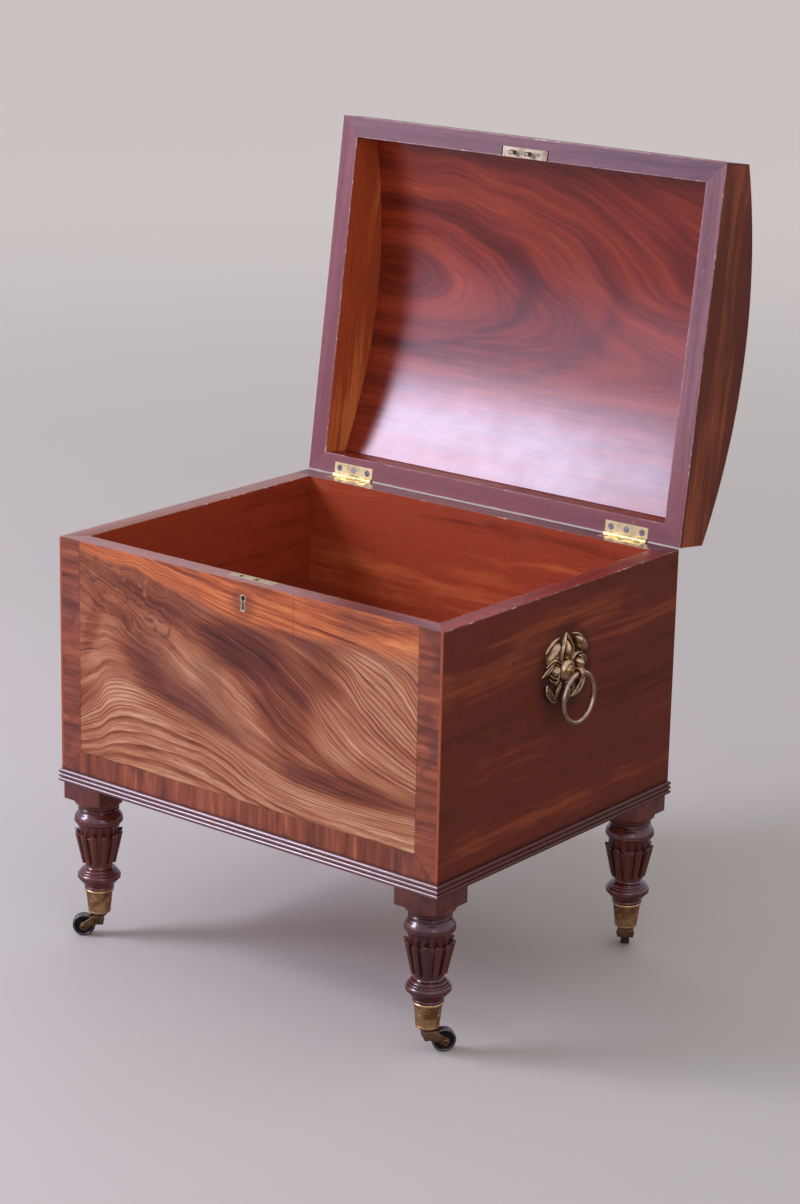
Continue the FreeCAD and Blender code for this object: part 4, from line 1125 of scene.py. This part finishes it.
edgeRound = {"board": 0.7, "lid": 0.8, "brass": 0.25}
boards = ["front_board", "back_board", "left_end_board", "right_end_board", "bottom_board", "lid_front_rail",
          "lid_back_rail", "lid_left_end", "lid_right_end", "lid_top_panel"]
for node in boards:
    onLid = node.startswith("lid_")
    board = softened(node, camel(node), edgeRound["lid" if onLid else "board"], True, onLid)
    fit(board, "lid" if onLid else "carcass", node)
print("boards ready")


# Screws, hinges, lock and link plate

# The heads are (radius, depth, shank radius, length)
fixings = {"rimZ": 495.0, "lidZ": 495.5, "hingeX": (-208.0, 204.5), "hingeY": 213.0, "pitch": 22.0,
           "hingeHead": (4.2, 1.9, 1.5, 14.0), "linkX": (-23.9, -3.8, 20.4), "lockY": -202.5,
           "linkHead": (2.3, 1.2, 1.3, 13.0), "lockInside": -196.5, "lockX": 29.7, "lockZ": (457.0, 486.0),
           "lockHead": (2.1, 1.1, 1.1, 12.0), "slotHalf": 0.32, "slotDepth": 0.75, "tip": 2.0}


def slottedScrew(head, depth, shank, length):
    # Countersunk, with its head's face at z = 0 and its shank below
    profile = [(0, -length), (shank, fixings["tip"] - length), (shank, -depth), (head, -0.2), (head - 0.25, 0), (0, 0)]
    screw = lathe("slottedScrew", profile, 36, 30.0)
    half = fixings["slotHalf"]
    cutter = block("slotCutter", (-head - 1, -half, -fixings["slotDepth"]), (head + 1, half, 1.0), 0)
    cut = screw.modifiers.new("slot", "BOOLEAN")
    cut.operation, cut.solver, cut.object = "DIFFERENCE", "EXACT", cutter
    applied(screw)
    bpy.data.objects.remove(cutter)
    return screw


def hingeScrews():
    rows = {"box": [], "lid": []}
    for index, x in enumerate(fixings["hingeX"]):
        for part, z, flip, seed, opened in (("box", fixings["rimZ"], 0, 3, Matrix.Identity(4)),
                                            ("lid", fixings["lidZ"], 180, 7, lidOpened)):
            row = repeated(slottedScrew(*fixings["hingeHead"]), copiesInRow, Count=3, Pitch=fixings["pitch"] * mm,
                           Stray=1.3, Seed=index + seed, Finish=plain["steel"])
            place = shiftTo(x - fixings["pitch"], fixings["hingeY"], z)
            rows[part].append(moved(row, opened @ place @ turnAbout("X", flip)))
    return joined("boxHingeScrews", rows["box"]), joined("lidHingeScrews", rows["lid"])


def linkScrews():
    screws = []
    for index, x in enumerate(fixings["linkX"]):
        turn = turnAbout("X", 180) @ Matrix.Rotation(0.5 + index * 1.1, 4, "Z")
        place = shiftTo(x, fixings["lockY"], fixings["lidZ"])
        screws.append(moved(slottedScrew(*fixings["linkHead"]), lidOpened @ place @ turn))
    return joined("linkPlateScrews", screws)


def lockScrews():
    screws = []
    for x in (-fixings["lockX"], fixings["lockX"]):
        for z in fixings["lockZ"]:
            # Each slot stands at an angle of its own
            turn = turnAbout("X", -90) @ Matrix.Rotation(x * z, 4, "Z")
            screws.append(moved(slottedScrew(*fixings["lockHead"]), shiftTo(x, fixings["lockInside"], z) @ turn))
    return joined("lockScrews", screws)


def makeHardware():
    boxScrews, lidScrews = hingeScrews()
    for screws, body, node in ((boxScrews, "carcass", "box_hinge_screws"), (lidScrews, "lid", "lid_hinge_screws"),
                               (linkScrews(), "lid", "link_plate_screws"), (lockScrews(), "carcass", "lock_screws")):
        fit(screws, body, node)
    brasses = {"hinge_left_lower_leaf": "carcass", "lock_case": "carcass", "hinge_right_lower_leaf": "carcass",
               "link_plate": "lid", "hinge_left_upper_leaf": "lid", "lock_bolt": "lock_bolt",
               "hinge_right_upper_leaf": "lid", "hinge_pins": "carcass", "keyhole_escutcheon": "carcass"}
    for node, body in brasses.items():
        name = "keyholeLining" if node == "keyhole_escutcheon" else camel(node)
        fit(softened(node, name, edgeRound["brass"], False, body == "lid"), body, node)


makeHardware()
print("hardware ready")


# Moulding

mouldingForm = {"outX": 283.0, "outY": 224.0, "depth": 9.0, "low": 196.0, "high": 212.0, "reeds": 3, "quirk": 0.35}


def mouldingSection():
    # From the inside top edge outwards and down: (inwards from the face, height)
    form = mouldingForm
    pitch = (form["high"] - form["low"]) / form["reeds"]
    radius = pitch / 2 - form["quirk"] / 2
    section = [(form["depth"], form["high"])]
    for reed in range(form["reeds"]):
        middle = form["high"] - pitch * (reed + 0.5)
        section += [(radius - radius * math.cos(a), middle + radius * math.sin(a))
                    for a in (math.radians(90 - i * 15) for i in range(13))]
        if reed < form["reeds"] - 1:
            section.append((radius + 0.4, middle - pitch / 2))
    return section + [(form["depth"], form["low"])]


def mouldingSide(half, offset, degrees):
    # One side with mitred ends
    rows = [[(end * (half - inwards), inwards - offset, z) for inwards, z in mouldingSection()] for end in (-1, 1)]
    return moved(skin("mouldingSide", rows, 50.0), turnAbout("Z", degrees))


def makeMoulding():
    x, y = mouldingForm["outX"], mouldingForm["outY"]
    long = joined("mouldingFrontAndBack", [mouldingSide(x, y, 0), mouldingSide(x, y, 180)])
    short = joined("mouldingSides", [mouldingSide(y, x, 90), mouldingSide(y, x, 270)])
    fit(long, "carcass", "base_moulding", "moulding")
    fit(short, "carcass", "base_moulding", "mouldingSides")


makeMoulding()
print("moulding ready")


# Studio

studio = {"floorTone": (194, 190, 190), "farTone": (232, 228, 228), "glossFloor": (124, 116, 120),
          "litTone": (255, 250, 244), "glossTone": (206, 202, 226), "seenTone": (200, 197, 196),
          "worldStrength": 0.72, "floorHalf": 40.0}
view = {"place": (2.1036, -2.6037, 1.4134), "turn": 38.303, "tilt": 16.455, "roll": 1.23, "lens": 90.1,
        "sensor": 36.0}
# Place, target, size, power and colour
lamps = {
    "key": ((-2.42, -2.36, 2.12), (-0.1, 0.1, 0.55), (1.25, 0.95), 64.0, (222, 220, 255)),
    "window": ((-2.7, -3.3, 1.25), (0, 0, 0.5), (3.0, 2.0), 22.0, (205, 206, 255)),
    "top": ((-1.75, -1.35, 2.3), (0, -0.1, 0.3), (0.7, 0.3), 22.0, (250, 246, 255)),
    "side": ((2.4, -1.6, 1.4), (0, 0, 0.4), (0.8, 1.4), 4.0, (255, 255, 255))}


def makeFloor():
    bm, half = bmesh.new(), studio["floorHalf"]
    bm.faces.new([bm.verts.new((half * x, half * y, 0)) for x, y in ((-1, -1), (1, -1), (1, 1), (-1, 1))])
    floor = pieceOf("floor", bm)
    paint = Finish("floorPaint")
    seen = paint.place()
    mottle = paint.cloud(seen, 2.0, 3.0)
    away = paint.node("ShaderNodeVectorMath", {"operation": "LENGTH"}, seen, out="Value")
    colour = paint.mix(mottle, tone(*studio["floorTone"]), tone(*[c - 6 for c in studio["floorTone"]]))
    # Polish reflects a darker floor than the eye sees
    gloss = paint.node("ShaderNodeLightPath", out="Is Glossy Ray")
    colour = paint.over(colour, (away.step(1.2, 6.0), studio["farTone"]), (gloss, studio["glossFloor"]))
    floor.data.materials.append(paint.close(colour, 0.7 + mottle * 0.1))


def makeWorld():
    world = bpy.data.worlds.new("studio")
    bpy.context.scene.world = world
    world.use_nodes = True
    sky = NodeMaker(world.node_tree)
    shown = sky.node("ShaderNodeBackground", None, tone(*studio["litTone"]), studio["worldStrength"])
    for key, ray in (("glossTone", "Is Glossy Ray"), ("seenTone", "Is Camera Ray")):
        other = sky.node("ShaderNodeBackground", None, tone(*studio[key]), 1.0)
        shown = sky.node("ShaderNodeMixShader", None, sky.node("ShaderNodeLightPath", out=ray), shown, other)
    sky.end("ShaderNodeOutputWorld", shown)


def softLamp(name, place, target, size, power, colour):
    light = bpy.data.lights.new(name, "AREA")
    light.shape, light.size, light.size_y = "RECTANGLE", size[0], size[1]
    light.energy, light.color = power, tone(*colour)[:3]
    lamp = newObject(name, light)
    lamp.location = place
    lamp.rotation_euler = (Vector(target) - Vector(place)).to_track_quat("-Z", "Y").to_euler()


def makeCamera():
    turn, tilt, roll = (math.radians(view[key]) for key in ("turn", "tilt", "roll"))
    back = Vector((math.sin(turn) * math.cos(tilt), -math.cos(turn) * math.cos(tilt), math.sin(tilt)))
    right = (-back).cross(Vector((0, 0, 1))).normalized()
    up = right.cross(-back)
    rolled = Matrix((math.cos(roll) * right + math.sin(roll) * up, math.cos(roll) * up - math.sin(roll) * right, back))
    camera = newObject("camera", bpy.data.cameras.new("camera"))
    camera.data.lens, camera.data.sensor_width = view["lens"], view["sensor"]
    camera.matrix_world = Matrix.Translation(view["place"]) @ rolled.transposed().to_4x4()
    bpy.context.scene.camera = camera


makeFloor()
makeWorld()
for name, settings in lamps.items():
    softLamp(name, *settings)
makeCamera()
bpy.context.scene.view_settings.view_transform = "Standard"
print("studio ready")
